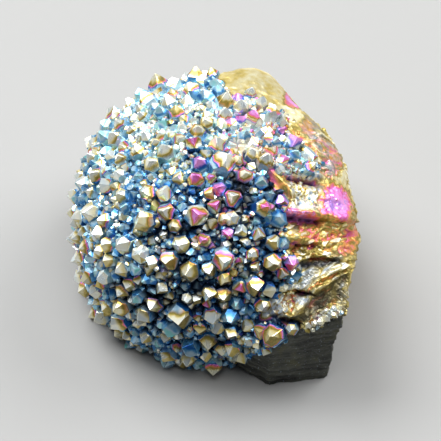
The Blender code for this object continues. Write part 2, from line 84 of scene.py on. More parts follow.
# The stone under the druse. Its surface is told by how far it reaches from a point inside it.
stone = {
    "heart": np.array([0.0, 0.0, 14.0]) * mm,
    "crownRise": 25.3 * mm,
    "skirtDrop": 33 * mm,
    "squareness": 2.35,
    # reach of the foot every 45 degrees from +X
    "footprint": np.array([27.7, 27.5, 27.0, 26.6, 26.1, 27.0, 26.9, 28.3]) * mm,
    "cornerPlanes": (
        ((0.16, -0.98, -0.04), (17.0, -29.4, 5.0)),  # front wall
        ((-0.30, -0.55, 0.78), (16.0, -29.6, 18.0)),  # slope above it
        ((0.60, 0.30, 0.74), (24.0, -19.0, 26.0)),  # ramp down to the back
        ((-0.51, -0.85, -0.10), (7.0, -27.7, 0.5)),  # left end, turning in under the druse
        ((-0.95, -0.30, 0.0), (2.0, -26.0, 4.0)),  # where that end meets the dome
        ((0.98, -0.15, -0.12), (25.5, -16.0, 12.0)),  # right wall
        ((-0.30, 0.95, 0.10), (4.0, 4.0, 14.0)),  # inner end, buried
        ((0.0, 0.0, -1.0), (0.0, 0.0, -8.0)),
    ),
    "breakPlanes": (
        ((0.80, 0.56, 0.22), (22.7, 11.0, 25.8)),  # back right
        ((0.975, 0.06, -0.21), (28.8, -10.0, 19.0)),  # right
    ),
    "breakSoftness": 0.9 * mm,
    "breakMargin": 1.0 * mm,
    "knobToward": (9.5, 22.5, 20.5),
    "knobRise": 3.6 * mm,
    "knobSpread": 0.28,
    "lumpSize": 11 * mm,
    "lumpRise": 0.7 * mm,
    "feeler": 0.05,  # how far aside the surface is felt for its normal
    # right-hand edge of the druse: up, and how far across it reaches there
    "druseEdge": (
        (-21.2, 1.8), (-19.8, 3.8), (-18.0, 6.4), (-16.8, 9.8), (-15.0, 14.2), (-12.6, 15.8),
        (-10.4, 12.4), (-8.8, 11.4), (-5.8, 13.4), (-2.8, 14.4), (2.8, 14.4), (10.6, 14.2),
        (17.2, 14.6),
        (18.8, 16.4), (20.6, 20.6), (23.4, 18.4), (26.0, 14.2), (29.0, 14.6), (31.2, 11.8),
        (33.2, 9.4),
        (36.2, 3.6), (40.0, -5.0),
    ),
    # ledges: run of the lip across and up, how far it stands out, how soon that fades above it
    "ledges": (
        (((25.6, -1.6), (23.0, -3.6), (19.6, -6.0), (17.8, -9.0), (14.6, -10.6)), 1.5, 2.6),
        (((25.0, -0.6), (20.0, -3.0), (16.6, -4.8), (13.0, -7.6)), 0.9, 1.8),
        (((25.6, 1.4), (19.6, 1.5), (15.6, 0.8)), 0.9, 1.8),
        (((25.0, 3.9), (21.4, 4.8), (15.4, 4.0)), 0.7, 2.0),
        (((26.5, 8.8), (21.0, 9.4), (14.0, 10.4)), 1.3, 3.0),
    ),
    # ridges and lumps above zero, crevices and pits below: start, end, spread, rise
    "forms": (
        ((15.6, 17.7), (21.2, 16.6), 0.9, -2.0),
        ((11.0, 20.0), (15.4, 14.4), 1.1, 1.0),
        ((14.8, 9.2), (21.0, 8.4), 1.1, -1.1),
        ((22.6, 12.4), (25.0, 11.6), 2.8, 0.7),
        ((24.6, 9.4), (27.4, 6.4), 2.2, 1.3),
        ((16.6, 5.8), (17.4, 5.4), 1.1, 1.3),
        ((17.0, -5.5), (19.4, -6.2), 0.7, -1.5),
        ((13.6, -10.6), (17.0, -11.8), 1.0, -1.6),
    ),
    "lipWidth": 0.8,  # mm
    "formsBehind": 6 * mm,
    "formsFade": 8 * mm,
    # broken faces, each patch with its own grain: patch as centre across and up, reach along and
    # over and turn in degrees; run of the grain, width of a face, its length in widths, rise,
    # how far the film differs from face to face, and the film along their edges
    "fractures": (
        ((18.6, 14.0, 5.4, 5.0, -10), -64, 0.55, 4.2, 0.42, 0.16, 0.34),
        ((16.0, 18.6, 4.4, 2.6, -40), -60, 0.60, 4.0, 0.40, 0.20, 0.42),
        ((20.0, 23.4, 8.5, 3.4, -24), -30, 0.85, 4.6, 0.40, 0.12, 0.45),
        ((23.6, 19.6, 2.4, 2.6, 0), -50, 1.1, 1.6, 0.40, 0.10, 0.46),
        ((24.6, 12.6, 4.0, 3.8, 0), 30, 1.5, 1.4, 0.42, 0.03, 0.53),
        ((18.0, 6.2, 4.4, 3.6, 0), 36, 0.95, 3.2, 0.80, 0.16, 0.45),
        ((25.0, 6.0, 4.4, 3.8, 8), 28, 0.95, 1.4, 0.62, 0.14, 0.43),
        ((19.8, 2.6, 6.0, 1.9, 0), 6, 0.55, 2.0, 0.42, 0.20, 0.30),
        ((21.0, -3.0, 7.2, 3.2, 34), 38, 0.72, 5.2, 0.62, 0.20, 0.25),
        ((20.6, -7.6, 5.6, 2.2, 42), 43, 0.45, 5.0, 0.18, 0.06, 0.25),
        ((14.6, -7.8, 4.6, 2.5, 45), 50, 0.75, 1.9, 0.60, 0.10, 0.45),
        ((22.6, -10.0, 4.2, 1.8, 30), 30, 0.80, 1.2, 0.60, 0.14, 0.50),
        ((26.0, -5.4, 1.6, 4.2, 0), 60, 0.70, 1.6, 0.42, 0.08, 0.27),
    ),
    # behind the ledges: width of a face, rise, spread of the film, film along the edges
    "fracturesBehind": ((2.6, 0.42, 0.06, 0.27), (0.95, 0.24, 0.05, 0.34)),
    # sharp grooves below zero and crests above: start, end, spread, rise
    "creases": (
        ((15.4, 17.8), (20.8, 16.4), 0.48, -1.5), ((14.4, 10.2), (21.0, 8.7), 0.55, -1.0),
        ((21.0, 8.7), (24.0, 9.6), 0.4, -0.5), ((19.4, 1.3), (27.2, 0.9), 0.32, -0.8),
        ((15.6, 4.3), (21.5, 3.8), 0.32, -0.7), ((16.4, -5.0), (20.0, -5.7), 0.36, -1.2),
        ((14.4, 10.9), (20.6, 10.6), 0.5, 0.7), ((10.2, 20.2), (15.6, 14.6), 0.55, 0.7),
        ((15.6, 2.6), (19.0, 6.0), 0.30, -0.5), ((20.6, 6.0), (23.8, 3.6), 0.30, -0.5),
        ((18.6, -7.9), (21.4, -4.6), 0.30, 0.4), ((13.6, -10.9), (17.6, -12.2), 0.5, -1.2),
    ),
    "lipEdge": (0.30, 0.75, 0.9),  # a thin lip on the ledges: width, rise and fade
    # coating over the bare stone: centre across and up, reach across and up, turn, film, weight
    "film": (
        (8.4, 36.0, 7.0, 5.0, 0, 0.185, 1.6), (3.4, 38.0, 3.0, 1.6, 15, 0.25, 1.0),
        (6.2, 33.2, 2.4, 1.4, 0, 0.23, 1.4), (15.8, 33.0, 1.7, 1.5, -35, 0.52, 4.0),
        (15.6, 30.6, 2.4, 1.8, -40, 0.13, 2.0), (19.2, 28.0, 3.0, 1.4, -45, 0.33, 1.6),
        (17.0, 26.0, 3.6, 1.6, -40, 0.17, 2.4), (20.6, 23.6, 6.5, 2.4, -30, 0.20, 2.4),
        (17.4, 21.8, 4.4, 1.4, -24, 0.11, 2.4), (24.6, 22.0, 3.0, 1.0, -50, 0.30, 1.6),
        (18.6, 14.4, 4.6, 2.8, -12, 0.11, 2.8), (12.7, 17.3, 3.8, 0.7, -46, 0.47, 4.0),
        (14.4, 15.0, 2.8, 0.9, -46, 0.36, 3.0), (14.4, 16.0, 3.0, 0.9, -50, 0.20, 2.6),
        (26.4, 16.6, 1.8, 2.4, 0, 0.16, 2.0), (24.4, 12.6, 3.2, 3.4, 0, 0.54, 4.0),
        (22.4, 15.4, 2.0, 1.2, 20, 0.47, 1.6), (28.0, 12.6, 0.9, 3.4, 0, 0.27, 2.0),
        (17.0, 10.2, 3.6, 0.8, -6, 0.60, 3.6), (18.4, 9.0, 3.6, 0.8, -8, 0.49, 2.8),
        (23.0, 9.6, 2.4, 0.8, 20, 0.24, 2.4), (27.2, 6.2, 1.7, 3.4, 0, 0.375, 2.6),
        (23.4, 6.4, 2.8, 2.6, 0, 0.215, 2.8), (18.2, 6.4, 3.0, 2.2, 30, 0.17, 3.0),
        (16.4, 5.0, 1.4, 0.8, 30, 0.48, 2.2), (20.2, 3.0, 5.0, 1.4, -2, 0.23, 3.0),
        (25.6, 2.6, 1.6, 1.6, 0, 0.34, 2.0), (13.4, -7.7, 4.2, 1.8, 44, 0.06, 3.4),
        (18.4, -6.7, 1.7, 0.9, 20, 0.02, 3.0), (21.6, -7.2, 4.2, 1.9, 42, 0.275, 4.0),
        (22.4, -10.0, 3.6, 1.2, 28, 0.05, 3.0), (26.0, -5.6, 1.2, 3.4, 0, 0.20, 2.6),
    ),
    # paler and bluer places: centre, reach, turn, share
    "ice": (
        (17.2, 12.4, 1.8, 1.8, 40, 0.75), (20.2, 13.4, 1.2, 2.2, 20, 0.70),
        (20.4, 15.8, 2.4, 1.0, -20, 0.60), (15.8, 15.8, 1.4, 0.7, -30, 0.55),
        (23.2, 19.7, 1.8, 1.6, 0, 0.85), (18.2, -6.6, 1.8, 1.3, 20, 1.0),
        (22.6, -10.2, 3.8, 1.3, 28, 0.85), (20.0, -1.2, 0.9, 1.2, 0, 0.55),
        (20.0, 18.0, 2.0, 1.2, -6, 1.0), (17.4, 18.2, 2.2, 0.9, -8, 0.9),
        (13.0, -8.2, 2.8, 1.2, 44, 0.45), (17.8, 20.6, 3.6, 1.6, -24, 0.55),
        (21.8, 25.0, 5.5, 2.0, -48, 0.42), (19.0, 11.8, 2.6, 0.8, 0, 0.35),
    ),
    # places inside the edge of the druse where the stone is bare: centre, reach, turn
    "clearings": (
        (12.9, 16.9, 3.4, 1.3, -46), (12.6, -7.6, 3.8, 1.7, 42), (5.4, 36.2, 3.2, 2.6, 0),
        (16.0, 17.0, 3.0, 1.0, -12),
    ),
    # painted shade: centre, reach, turn, share
    "shade": (
        (17.6, 8.6, 3.6, 0.5, -6, 0.55), (19.6, 4.3, 5.4, 0.35, -4, 0.6),
        (25.0, 2.2, 2.4, 0.8, -10, 0.5), (19.6, 1.2, 4.6, 0.35, 0, 0.4),
        (22.2, -5.4, 4.4, 0.5, 38, 0.6), (21.4, -7.4, 4.8, 2.0, 42, 0.74),
        (25.6, -4.8, 1.7, 3.4, 0, 0.80), (18.6, -9.8, 2.0, 1.4, 40, 0.70),
        (8.4, 35.0, 9.0, 7.0, 0, 0.34), (21.0, 26.4, 4.0, 2.0, -48, 0.16),
        (23.2, 19.7, 1.8, 1.6, 0, 0.38), (14.0, 13.4, 1.0, 1.6, 0, 0.7),
    ),
    # lines of coating: run across and up, half width, film, weight, share of painted shade
    "strokes": (
        (((18.0, 0.2), (22.0, 0.3), (25.0, 0.9)), 1.0, 0.27, 8.0, 0.90),
        (((19.6, -3.2), (21.4, -1.9), (23.8, -0.9), (26.0, -0.1)), 0.60, 0.07, 7.0, 0.0),
        (((15.4, -4.2), (18.0, -4.1), (20.0, -3.3)), 0.60, 0.04, 9.0, 0.0),
        (((18.6, -2.0), (20.0, -1.2), (21.2, -0.9)), 0.75, 0.10, 5.0, 0.50),
        (((16.0, -4.9), (18.2, -5.1), (19.8, -4.7), (22.2, -3.1), (23.8, -2.1),
          (27.4, -0.5)), 0.30, 0.31, 6.0, 0.0),
        (((19.8, -5.6), (21.0, -4.6), (22.8, -3.5), (24.4, -2.3)), 0.36, 0.17, 7.0, 0.0),
        (((19.8, -5.8), (19.2, -7.0), (18.0, -8.4), (16.0, -10.3)), 0.34, 0.25, 6.0, 0.0),
        (((16.4, -5.5), (18.2, -5.9), (19.6, -5.3)), 0.34, 0.30, 3.0, 0.85),
        (((15.2, 17.5), (18.0, 16.7), (20.6, 16.4)), 0.48, 0.61, 5.0, 1.0),
        (((13.8, 10.9), (16.2, 11.0), (19.0, 10.3)), 0.45, 0.61, 6.0, 0.0),
        (((14.2, 9.5), (17.0, 9.4), (19.6, 9.1)), 0.50, 0.53, 5.0, 0.50),
        (((12.0, -10.2), (14.4, -11.2), (17.4, -11.8)), 0.75, 0.30, 2.0, 1.0),
    ),
    # ledges in the finer relief: run of the lip across and up, rise, fade
    "fineLedges": (
        (((26.4, -0.6), (23.8, -2.2), (22.2, -3.2), (19.8, -4.8), (18.2, -5.2),
          (16.0, -4.9)), 0.8, 1.7),
        (((24.8, -2.5), (22.8, -3.9), (21.0, -5.0), (19.9, -5.9), (19.2, -7.2), (18.0, -8.6),
          (16.0, -10.5)), 1.0, 1.5),
    ),
    # places outside the edge of the druse where the small points go on
    "growths": ((15.6, -1.2, 1.7, 2.4, 0),),
    "ringsBehind": -12 * mm,  # further back there are no growths and no clearings
    # where the coating ends on the front, across and up, and how high it ends behind
    "rockLine": (
        (2.0, -18.5), (7.0, -16.5), (16.8, -12.9), (19.4, -12.3), (25.0, -9.8), (28.0, -8.6),
    ),
    "rockBehind": 6.0,
    "rockFace": (-16 * mm, -8 * mm),  # from behind to the front
    "rockRagged": (2.4 * mm, 6, 3),  # waves in that line: size, seed, octaves
    "rockRaggedBy": (1.2, 1.8),
    "rockAtFoot": (1.2, 0.3),
    "rockAtDruse": (0.8 * mm, -0.2 * mm),
    # the coating between and behind the patches
    "filmElsewhere": 0.22,
    "elsewhereWeight": 0.3,
    "elsewhereDrift": (0.20, 8 * mm, 8, 3),  # film, size, seed, octaves
    "filmRange": (0.02, 0.62),
    "patchEdge": 1.8,  # how soon a patch ends at its reach
    "filmDrift": 2.0 * mm,  # waves in the edges of patches and strokes, and how many mm they go
    "filmRagged": 0.8,
    "strokeRagged": 0.24,
    "filmOnEdges": (1.3, -0.15, 0.85),  # how an edge's share grows, from where, and its most
    "iceOnFaces": 3.0,
    "faceTurned": (0.04, 0.26),  # from behind the ledges to their face
    "fadeAtDruse": (1.0 * mm, -0.6 * mm),
    # painted shade on the stone under the points, darker and bluer
    "druseShade": (-0.3 * mm, 0.6 * mm),
    # the mesh: finer where it is bare and in front
    "fineness": 6,
    "longestEdges": (0.80 * mm, 0.60 * mm, 0.42 * mm, 0.32 * mm),
    "bareMargin": 0.8 * mm,  # how far under the points the finer faces go on
    "lowestFine": -2 * mm,
    "finestBehind": -6 * mm,
}

# The fine relief of the bare stone, in mm.
crumple = {
    # rise, size, seed, octaves, and how much of it the knob and the uncoated wall lack
    "swells": ((0.40, 3.6, 1, 4, 0.6, 0.0), (0.20, 1.1, 2, 3, 0.75, 0.5)),
    "knobSpread": 0.34,
    # the small broken faces
    "tilt": 2.2,
    "step": 0.9,
    "edgeSharpness": 5.0,
    "edgeDrop": 0.4,
    "edgeFilm": 0.3,
    "leastWeight": 0.03,
    "warp": (2.2, 0.5),  # size of the waves in their runs, and how far those go
    "warpBehind": (2.0, 0.4),
    "stretchBehind": (0.8, 2.0, 1.0),
    "wallSmoothness": 0.7,
    "ragged": (1.6, 0.45),  # size of the waves in creases and lips, and how far those go
    "lipsEnd": (27.5, 24.0),
    # layers of the uncoated wall: rise, size, seed, octaves, stretch
    "layers": (0.34, 2.2, 5, 3, (0.30, 0.30, 1.8)),
}

# The big points of the druse.
quartz = {
    "seed": 36,
    "trials": 16000,
    "count": 252,
    "widest": 4.1 * mm,
    "narrowest": 2.4 * mm,
    "narrowing": 0.6,
    "spacing": 1.0,
    "lowestTrial": -0.45,
    "lowestRoot": 1.0 * mm,
    "edgeClearance": 0.3 * mm,
    "shankRise": 0.38,
    "shankRange": (0.75, 1.3),
    "tipSlope": math.radians(51.8),
    "slopeRange": (0.85, 1.0),
    "lean": 0.12,
    "threeFacedShare": 0.30,
    "shape": "bigShape",
    "shapes": 7,  # of each habit
    "shapeSeed": 100,
    "length": 1.9,  # in widths
    "bevel": 0.022,
    "girth": 0.94,
    "sway": 0.0,
    "swaySeed": 1,
    "onDruse": True,
    # painted shade between the points: lifted by this many mm of height where the gaps are pale,
    # deepened by this share where they are darker
    "shadeLiftWherePale": 2.4,
    "gapShadeDeepening": 0.6,
    "shadedFacingSpared": 0.9,  # how much of the painted shade on downward faces is spared where the druse is pale
    # painted shade: tip faces turned this way, downward, get a darker olive film
    "shadedFacing": (0.15, -0.75, -0.60),
    "shadedFacingRange": (0.12, 0.70),
    # gaps with less painted shade and paler films, and with more painted shade below zero: centre,
    # reach, turn, share
    "pale": (
        ((-25.0, 6.0, 12.0, 17.0, 0), 0.40), ((-12.0, 27.0, 15.0, 10.5, 25), 0.95),
        ((4.0, 29.0, 12.0, 9.0, 0), 0.95), ((13.5, 23.0, 8.5, 6.5, -35), 0.90),
        ((12.4, 15.8, 2.4, 3.0, 0), -1.0), ((5.4, 16.2, 1.6, 3.0, 0), -0.9),
        ((-4.0, 23.5, 1.6, 2.2, 0), -0.6), ((-9.6, 7.6, 3.0, 2.2, 0), -0.7),
        ((-4.6, 7.6, 2.4, 1.6, 0), -0.7), ((0.8, 12.2, 2.4, 1.4, 0), -0.7),
        ((6.0, 12.6, 2.2, 2.4, 0), -0.7), ((-6.2, 0.8, 1.4, 2.4, 0), -0.7),
        ((0.4, -4.4, 4.4, 1.3, 0), -0.9), ((-2.0, -9.0, 3.0, 1.0, 0), -0.7),
        ((11.0, 3.6, 1.6, 2.0, 0), -0.9), ((11.4, -4.0, 1.8, 3.2, 0), -0.8),
        ((14.2, -10.8, 3.6, 1.8, -20), -1.0), ((-11.6, -6.8, 1.8, 4.0, 0), -0.7),
        ((-18.2, -4.4, 2.2, 3.0, 0), -0.6), ((0.8, -15.8, 3.0, 1.4, 0), -0.7),
        ((4.6, 5.2, 2.2, 1.6, 0), -0.6),
    ),
    "warm": (10.5, 25.5, 8.5, 8.0, -35),  # where the shanks are cream instead of blue
    # the leading points: tip across and up, width, and its film
    "leading": (
        (1.4, 21.8, 4.6, "cream"), (5.0, 22.2, 2.6, "blush"), (8.4, 23.4, 3.0, "cream"),
        (11.0, 21.8, 3.3, "cream"), (-2.8, 21.2, 3.2, "violet"), (-3.4, 17.8, 3.2, "rose"),
        (-0.4, 18.2, 2.2, "rose"), (2.2, 20.2, 2.8, "rose"), (1.4, 16.2, 3.0, "magenta"),
        (6.6, 19.0, 3.2, "blush"), (4.2, 14.2, 3.5, "blush"), (10.2, 17.4, 2.9, "teal"),
        (14.4, 21.6, 2.5, "teal"), (9.8, 12.0, 3.4, "rose"), (14.2, 13.4, 2.6, "violet"),
        (-4.0, 10.4, 4.1, "rose"), (-10.0, 11.2, 3.4, "blush"), (-14.4, 9.2, 4.0, "gold"),
        (-11.8, 8.8, 2.2, "gold"), (-14.0, 15.6, 3.3, "cream"), (-10.2, 15.0, 3.0, "white"),
        (2.2, 9.6, 2.5, "gold"), (4.2, 9.6, 2.9, "white"), (3.0, 6.6, 2.4, "magenta"),
        (-1.8, 5.0, 2.7, "rose"), (-6.8, 4.0, 3.5, "white"), (-9.4, 0.4, 3.7, "amber"),
        (-5.0, -2.2, 4.0, "gold"), (-0.8, -1.2, 3.0, "white"), (2.0, 0.8, 4.0, "blush"),
        (-15.8, 1.6, 3.6, "silver"), (-12.6, 0.4, 2.5, "silver"), (-19.2, -1.4, 3.2, "white"),
        (-11.0, -5.4, 2.7, "white"), (-9.0, -7.0, 2.1, "gold"), (-14.6, -11.6, 3.6, "white"),
        (-7.4, -12.2, 4.4, "cream"), (-5.6, -7.6, 2.4, "white"), (-0.8, -6.6, 3.1, "cream"),
        (2.2, -7.2, 3.4, "gold"), (-0.2, -11.2, 3.5, "silver"), (3.8, -11.8, 3.6, "steel"),
        (5.6, -4.8, 2.6, "rose"), (8.6, -5.2, 3.6, "gold"), (9.4, -10.0, 3.4, "white"),
        (6.4, -11.8, 2.6, "cream"), (8.8, -12.8, 2.8, "olive"), (11.6, -15.0, 4.4, "olive"),
        (12.8, 0.2, 3.6, "gold"), (12.4, 4.2, 3.0, "cream"), (9.2, 6.4, 2.6, "cream"),
        (15.8, -13.4, 2.4, "white"), (-20.0, -12.8, 3.9, "cream"), (-2.6, -13.8, 2.8, "olive"),
        (-24.8, 18.8, 3.2, "cream"), (-23.0, 16.8, 3.1, "silver"), (-22.8, 9.0, 3.0, "cream"),
        (-19.0, 4.2, 3.6, "silver"), (16.6, 0.2, 2.9, "magenta"), (17.4, 23.2, 2.6, "teal"),
        (14.4, 21.8, 2.4, "rose"), (20.4, 20.6, 2.6, "amber"), (11.0, 21.6, 3.2, "cream"),
        (8.6, 23.6, 3.0, "blush"), (8.6, 31.2, 3.4, "rose"), (5.8, 33.0, 3.2, "white"),
        (-24.8, -5.8, 3.0, "silver"), (-22.0, -9.2, 3.0, "cream"), (-14.2, -15.6, 3.0, "silver"),
        (-9.2, -19.2, 3.2, "cream"), (-5.0, -20.0, 3.4, "white"), (-1.8, -19.4, 2.8, "silver"),
    ),
}

# Films of the points: at the apex, and at the rim where the tip meets the shank.
films = {
    "white": (0.03, 0.20),
    "cream": (0.05, 0.30),
    "blush": (0.06, 0.47),
    "gold": (0.11, 0.33),
    "olive": (0.17, 0.32),
    "amber": (0.13, 0.44),
    "rose": (0.525, 0.12),
    "magenta": (0.52, 0.61),
    "violet": (0.57, 0.68),
    "teal": (0.97, 0.80),
    "silver": (0.00, 0.10),
    "frost": (0.93, 0.80),
    "steel": (0.90, 0.76),
}

# How the points differ from each other: turns in radians, lengths in widths.
habit = {
    "shankTurn": 0.04,
    "taper": 0.035,
    "shankReach": (0.9, 1.08),
    "tipTurn": 0.07,
    "longSetBack": (0.0, 0.05),
    "shortSetBack": (0.05, 0.2),
    "loneSetBack": (0.26, 0.42),  # of the other faces, where three make the tip
    "steepness": (0.9, 1.1),
    "chippedShare": 0.35,
    "chipSlope": 0.9,
    "chipDepth": 0.09,
    "shankLimit": 0.32,
    "apexFilm": 0.03,
    "rimFilm": 0.04,
}

# Where the mixes below are used, in mm across and up the face, and how much.
regions = {
    "faceEnds": -8,
    "pinkBehind": 0.25,
    "pinkInFront": 0.55,
    "pinkAcross": (-9.0, 9.0),
    "pinkUp": (-10.0, 2.0),
    "pinkBelow": 0.35,
    "pinkTilt": 0.12,
    "pinkLevel": 6.0,
    "coolAcross": (4.0, -16.0),
    "coolTilt": 0.2,
    "paleMost": 0.75,
}

# What a point picks its film from.
mixes = {
    "pink": ("rose", "blush", "blush", "magenta", "blush", "rose", "violet", "amber"),
    "pale": ("white", "cream", "silver", "cream", "white", "silver", "gold", "frost"),
    "cool": ("white", "cream", "silver", "frost", "white", "silver", "gold", "frost"),
    "warm": ("white", "cream", "gold", "cream", "olive", "cream", "white", "steel", "amber"),
    "between": ("silver", "steel", "frost", "steel", "frost", "white"),
}


def unit(vectors):
    return vectors / np.linalg.norm(vectors, axis=-1, keepdims=True)


def smoothLeast(a, b, softness):
    blend = np.clip(0.5 + 0.5 * (b - a) / softness, 0.0, 1.0)
    return b + (a - b) * blend - softness * blend * (1.0 - blend)


def easeStep(low, high, value):
    share = np.clip((value - low) / (high - low), 0.0, 1.0)
    return share * share * (3.0 - 2.0 * share)


def footprintReach(azimuth):
    footprint = stone["footprint"]
    turn = azimuth / math.tau * len(footprint) % len(footprint)
    before = turn.astype(int) % len(footprint)
    ease = easeStep(0.0, 1.0, turn - np.floor(turn))
    return footprint[before] * (1.0 - ease) + footprint[(before + 1) % len(footprint)] * ease


def domeReach(direction):
    azimuth = np.arctan2(direction[:, 1], direction[:, 0])
    level = np.hypot(direction[:, 0], direction[:, 1])
    rise = np.where(direction[:, 2] > 0, stone["crownRise"], stone["skirtDrop"])
    sideways = (level / footprintReach(azimuth)) ** stone["squareness"]
    upwards = (np.abs(direction[:, 2]) / rise) ** stone["squareness"]
    return (sideways + upwards) ** (-1.0 / stone["squareness"])


def planeReach(direction, normal, point):
    normal = unit(np.array(normal))
    gap = normal @ (np.array(point) * mm - stone["heart"])
    facing = direction @ normal
    return np.where(facing > gap / far, gap / np.maximum(facing, gap / far), far)


def knobShare(direction, spread):
    aside = np.linalg.norm(direction - unit(np.array(stone["knobToward"])), axis=1)
    return np.exp(-((aside / spread) ** 2))


def bedReach(direction):
    reach = domeReach(direction) + stone["knobRise"] * knobShare(direction, stone["knobSpread"])
    corner = np.full(len(direction), far)
    for normal, point in stone["cornerPlanes"]:
        corner = np.minimum(corner, planeReach(direction, normal, point))
    reach = -smoothLeast(-reach, -corner, stone["breakSoftness"])
    for normal, point in stone["breakPlanes"]:
        reach = smoothLeast(reach, planeReach(direction, normal, point), stone["breakSoftness"])
    return reach


def plainPoints(direction):
    # of each direction, its point on the stone before any relief
    return stone["heart"] + direction * bedReach(direction)[:, None]


def sighted(points):
    # places of points in the face, in metres across and up, and how near they are
    offset = points - sight["centre"]
    nearness = offset @ toward
    scale = sight["distance"] / (sight["distance"] - nearness)
    place = np.column_stack([offset @ across, offset @ upward]) * scale[:, None]
    return sightCentre + place, nearness


def turned(places, degrees):
    # how far places lie along a direction turned this much, and over it
    c, s = math.cos(math.radians(degrees)), math.sin(math.radians(degrees))
    return places[:, 0] * c + places[:, 1] * s, -places[:, 0] * s + places[:, 1] * c


def onPatch(place, patch):
    # places from the centre of a patch, in its reaches along and over
    x, y, reachAlong, reachOver, turn = patch
    along, over = turned(place / mm - np.array([x, y]), turn)
    return along / reachAlong, over / reachOver


def patchWeight(place, patch):
    # how much a place belongs to a patch: 1 at its centre, fading at its reach
    along, over = onPatch(place, patch)
    return np.exp(-((along * along + over * over) ** stone["patchEdge"]))


def ringMargin(points, patches):
    # about how far outside the nearest of these patches a point is
    place, nearness = sighted(points)
    rings = [(np.hypot(*onPatch(place, patch)) - 1.0) * min(patch[2:4]) * mm for patch in patches]
    return np.where(nearness > stone["ringsBehind"], np.minimum.reduce(rings), far)


def edgeMargin(points):
    # how far inside the edge of the druse a point is
    place, _ = sighted(points)
    heights, edges = np.array(stone["druseEdge"]).T * mm
    margin = np.interp(place[:, 1], heights, edges) - place[:, 0]
    for normal, point in stone["breakPlanes"]:
        depth = (np.array(point) * mm - points) @ unit(np.array(normal))
        margin = np.minimum(margin, depth - stone["breakMargin"])
    return margin


def druseMargin(points):
    # the same with the growths and clearings: below zero on the bare stone
    grown = np.maximum(edgeMargin(points), -ringMargin(points, stone["growths"]))
    return np.minimum(grown, ringMargin(points, stone["clearings"]))


def lineDistance(place, line):
    # how far a place is from a line in the face, and whether it is above it
    corners = np.array(line) * mm
    nearest = np.full(len(place), far)
    above = np.zeros(len(place), bool)
    for start, end in zip(corners, corners[1:]):
        run = end - start
        share = np.clip((place - start) @ run / (run @ run), 0.0, 1.0)
        away = place - start - share[:, None] * run
        distance = np.linalg.norm(away, axis=1)
        above = np.where(distance < nearest, run[0] * away[:, 1] - run[1] * away[:, 0] < 0, above)
        nearest = np.minimum(nearest, distance)
    return nearest, above


def ledgeRise(place, line, lipWidth, rise, fade):
    # a ledge: full at its lip, nothing below it, and fading above it
    nearest, above = lineDistance(place, line)
    lip = np.clip(0.5 + np.where(above, nearest, -nearest) / (lipWidth * mm), 0.0, 1.0)
    return lip * rise * np.exp(-nearest / (fade * mm))


def ridgeRise(place, start, end, spread, rise):
    nearest, _ = lineDistance(place, (start, end))
    return rise * np.exp(-((nearest / (spread * mm)) ** 2))


def relief(points):
    lumps = np.array([noise.noise(Vector(p / stone["lumpSize"])) for p in points])
    place, nearness = sighted(points)
    forms = np.zeros(len(points))
    for line, rise, fade in stone["ledges"]:
        forms += ledgeRise(place, line, stone["lipWidth"], rise, fade)
    for form in stone["forms"]:
        forms += ridgeRise(place, *form)
    inFront = np.clip((nearness + stone["formsBehind"]) / stone["formsFade"], 0.0, 1.0)
    return lumps * stone["lumpRise"] + forms * mm * inFront


def bedPoints(direction):
    plain = plainPoints(direction)
    return plain + direction * relief(plain)[:, None]


def bedNormals(direction):
    steep = np.abs(direction[:, 2:]) > 0.9
    aside = unit(np.cross(direction, np.where(steep, (1.0, 0.0, 0.0), (0.0, 0.0, 1.0))))
    along = np.cross(direction, aside)

    def surface(step):
        nearby = unit(direction + step * stone["feeler"])
        return nearby * bedReach(nearby)[:, None]

    normal = unit(np.cross(surface(aside) - surface(-aside), surface(along) - surface(-along)))
    return normal * np.sign(np.sum(normal * direction, axis=1))[:, None]


def sightedRoots(place, rise):
    # where points root, so that a tip that rises this high is seen at its place
    shift = place * mm - sightCentre
    station = sight["centre"] + toward * sight["distance"]
    rays = unit(sight["centre"] + shift[:, :1] * across + shift[:, 1:] * upward - station)
    offset = np.zeros((len(rays), 3))
    for _ in range(sight["rounds"]):
        near = np.full(len(rays), sight["distance"] - sight["before"])
        beyond = np.full(len(rays), sight["distance"] + sight["behind"])
        for _ in range(sight["halvings"]):
            middle = (near + beyond) / 2
            spot = station + rays * middle[:, None] - offset - stone["heart"]
            inside = np.linalg.norm(spot, axis=1) < bedReach(unit(spot))
            beyond = np.where(inside, middle, beyond)
            near = np.where(inside, near, middle)
        direction = unit(station + rays * beyond[:, None] - offset - stone["heart"])
        offset = bedNormals(direction) * rise[:, None]
    return direction


def chanceVector(chance):
    return Vector((chance.gauss(0, 1), chance.gauss(0, 1), chance.gauss(0, 1)))


def leaning(normal, lean, chance):
    return (Vector(normal) + chanceVector(chance) * lean).normalized()


def widthAt(own, share):
    return own["widest"] + (own["narrowest"] - own["widest"]) * share ** own["narrowing"]


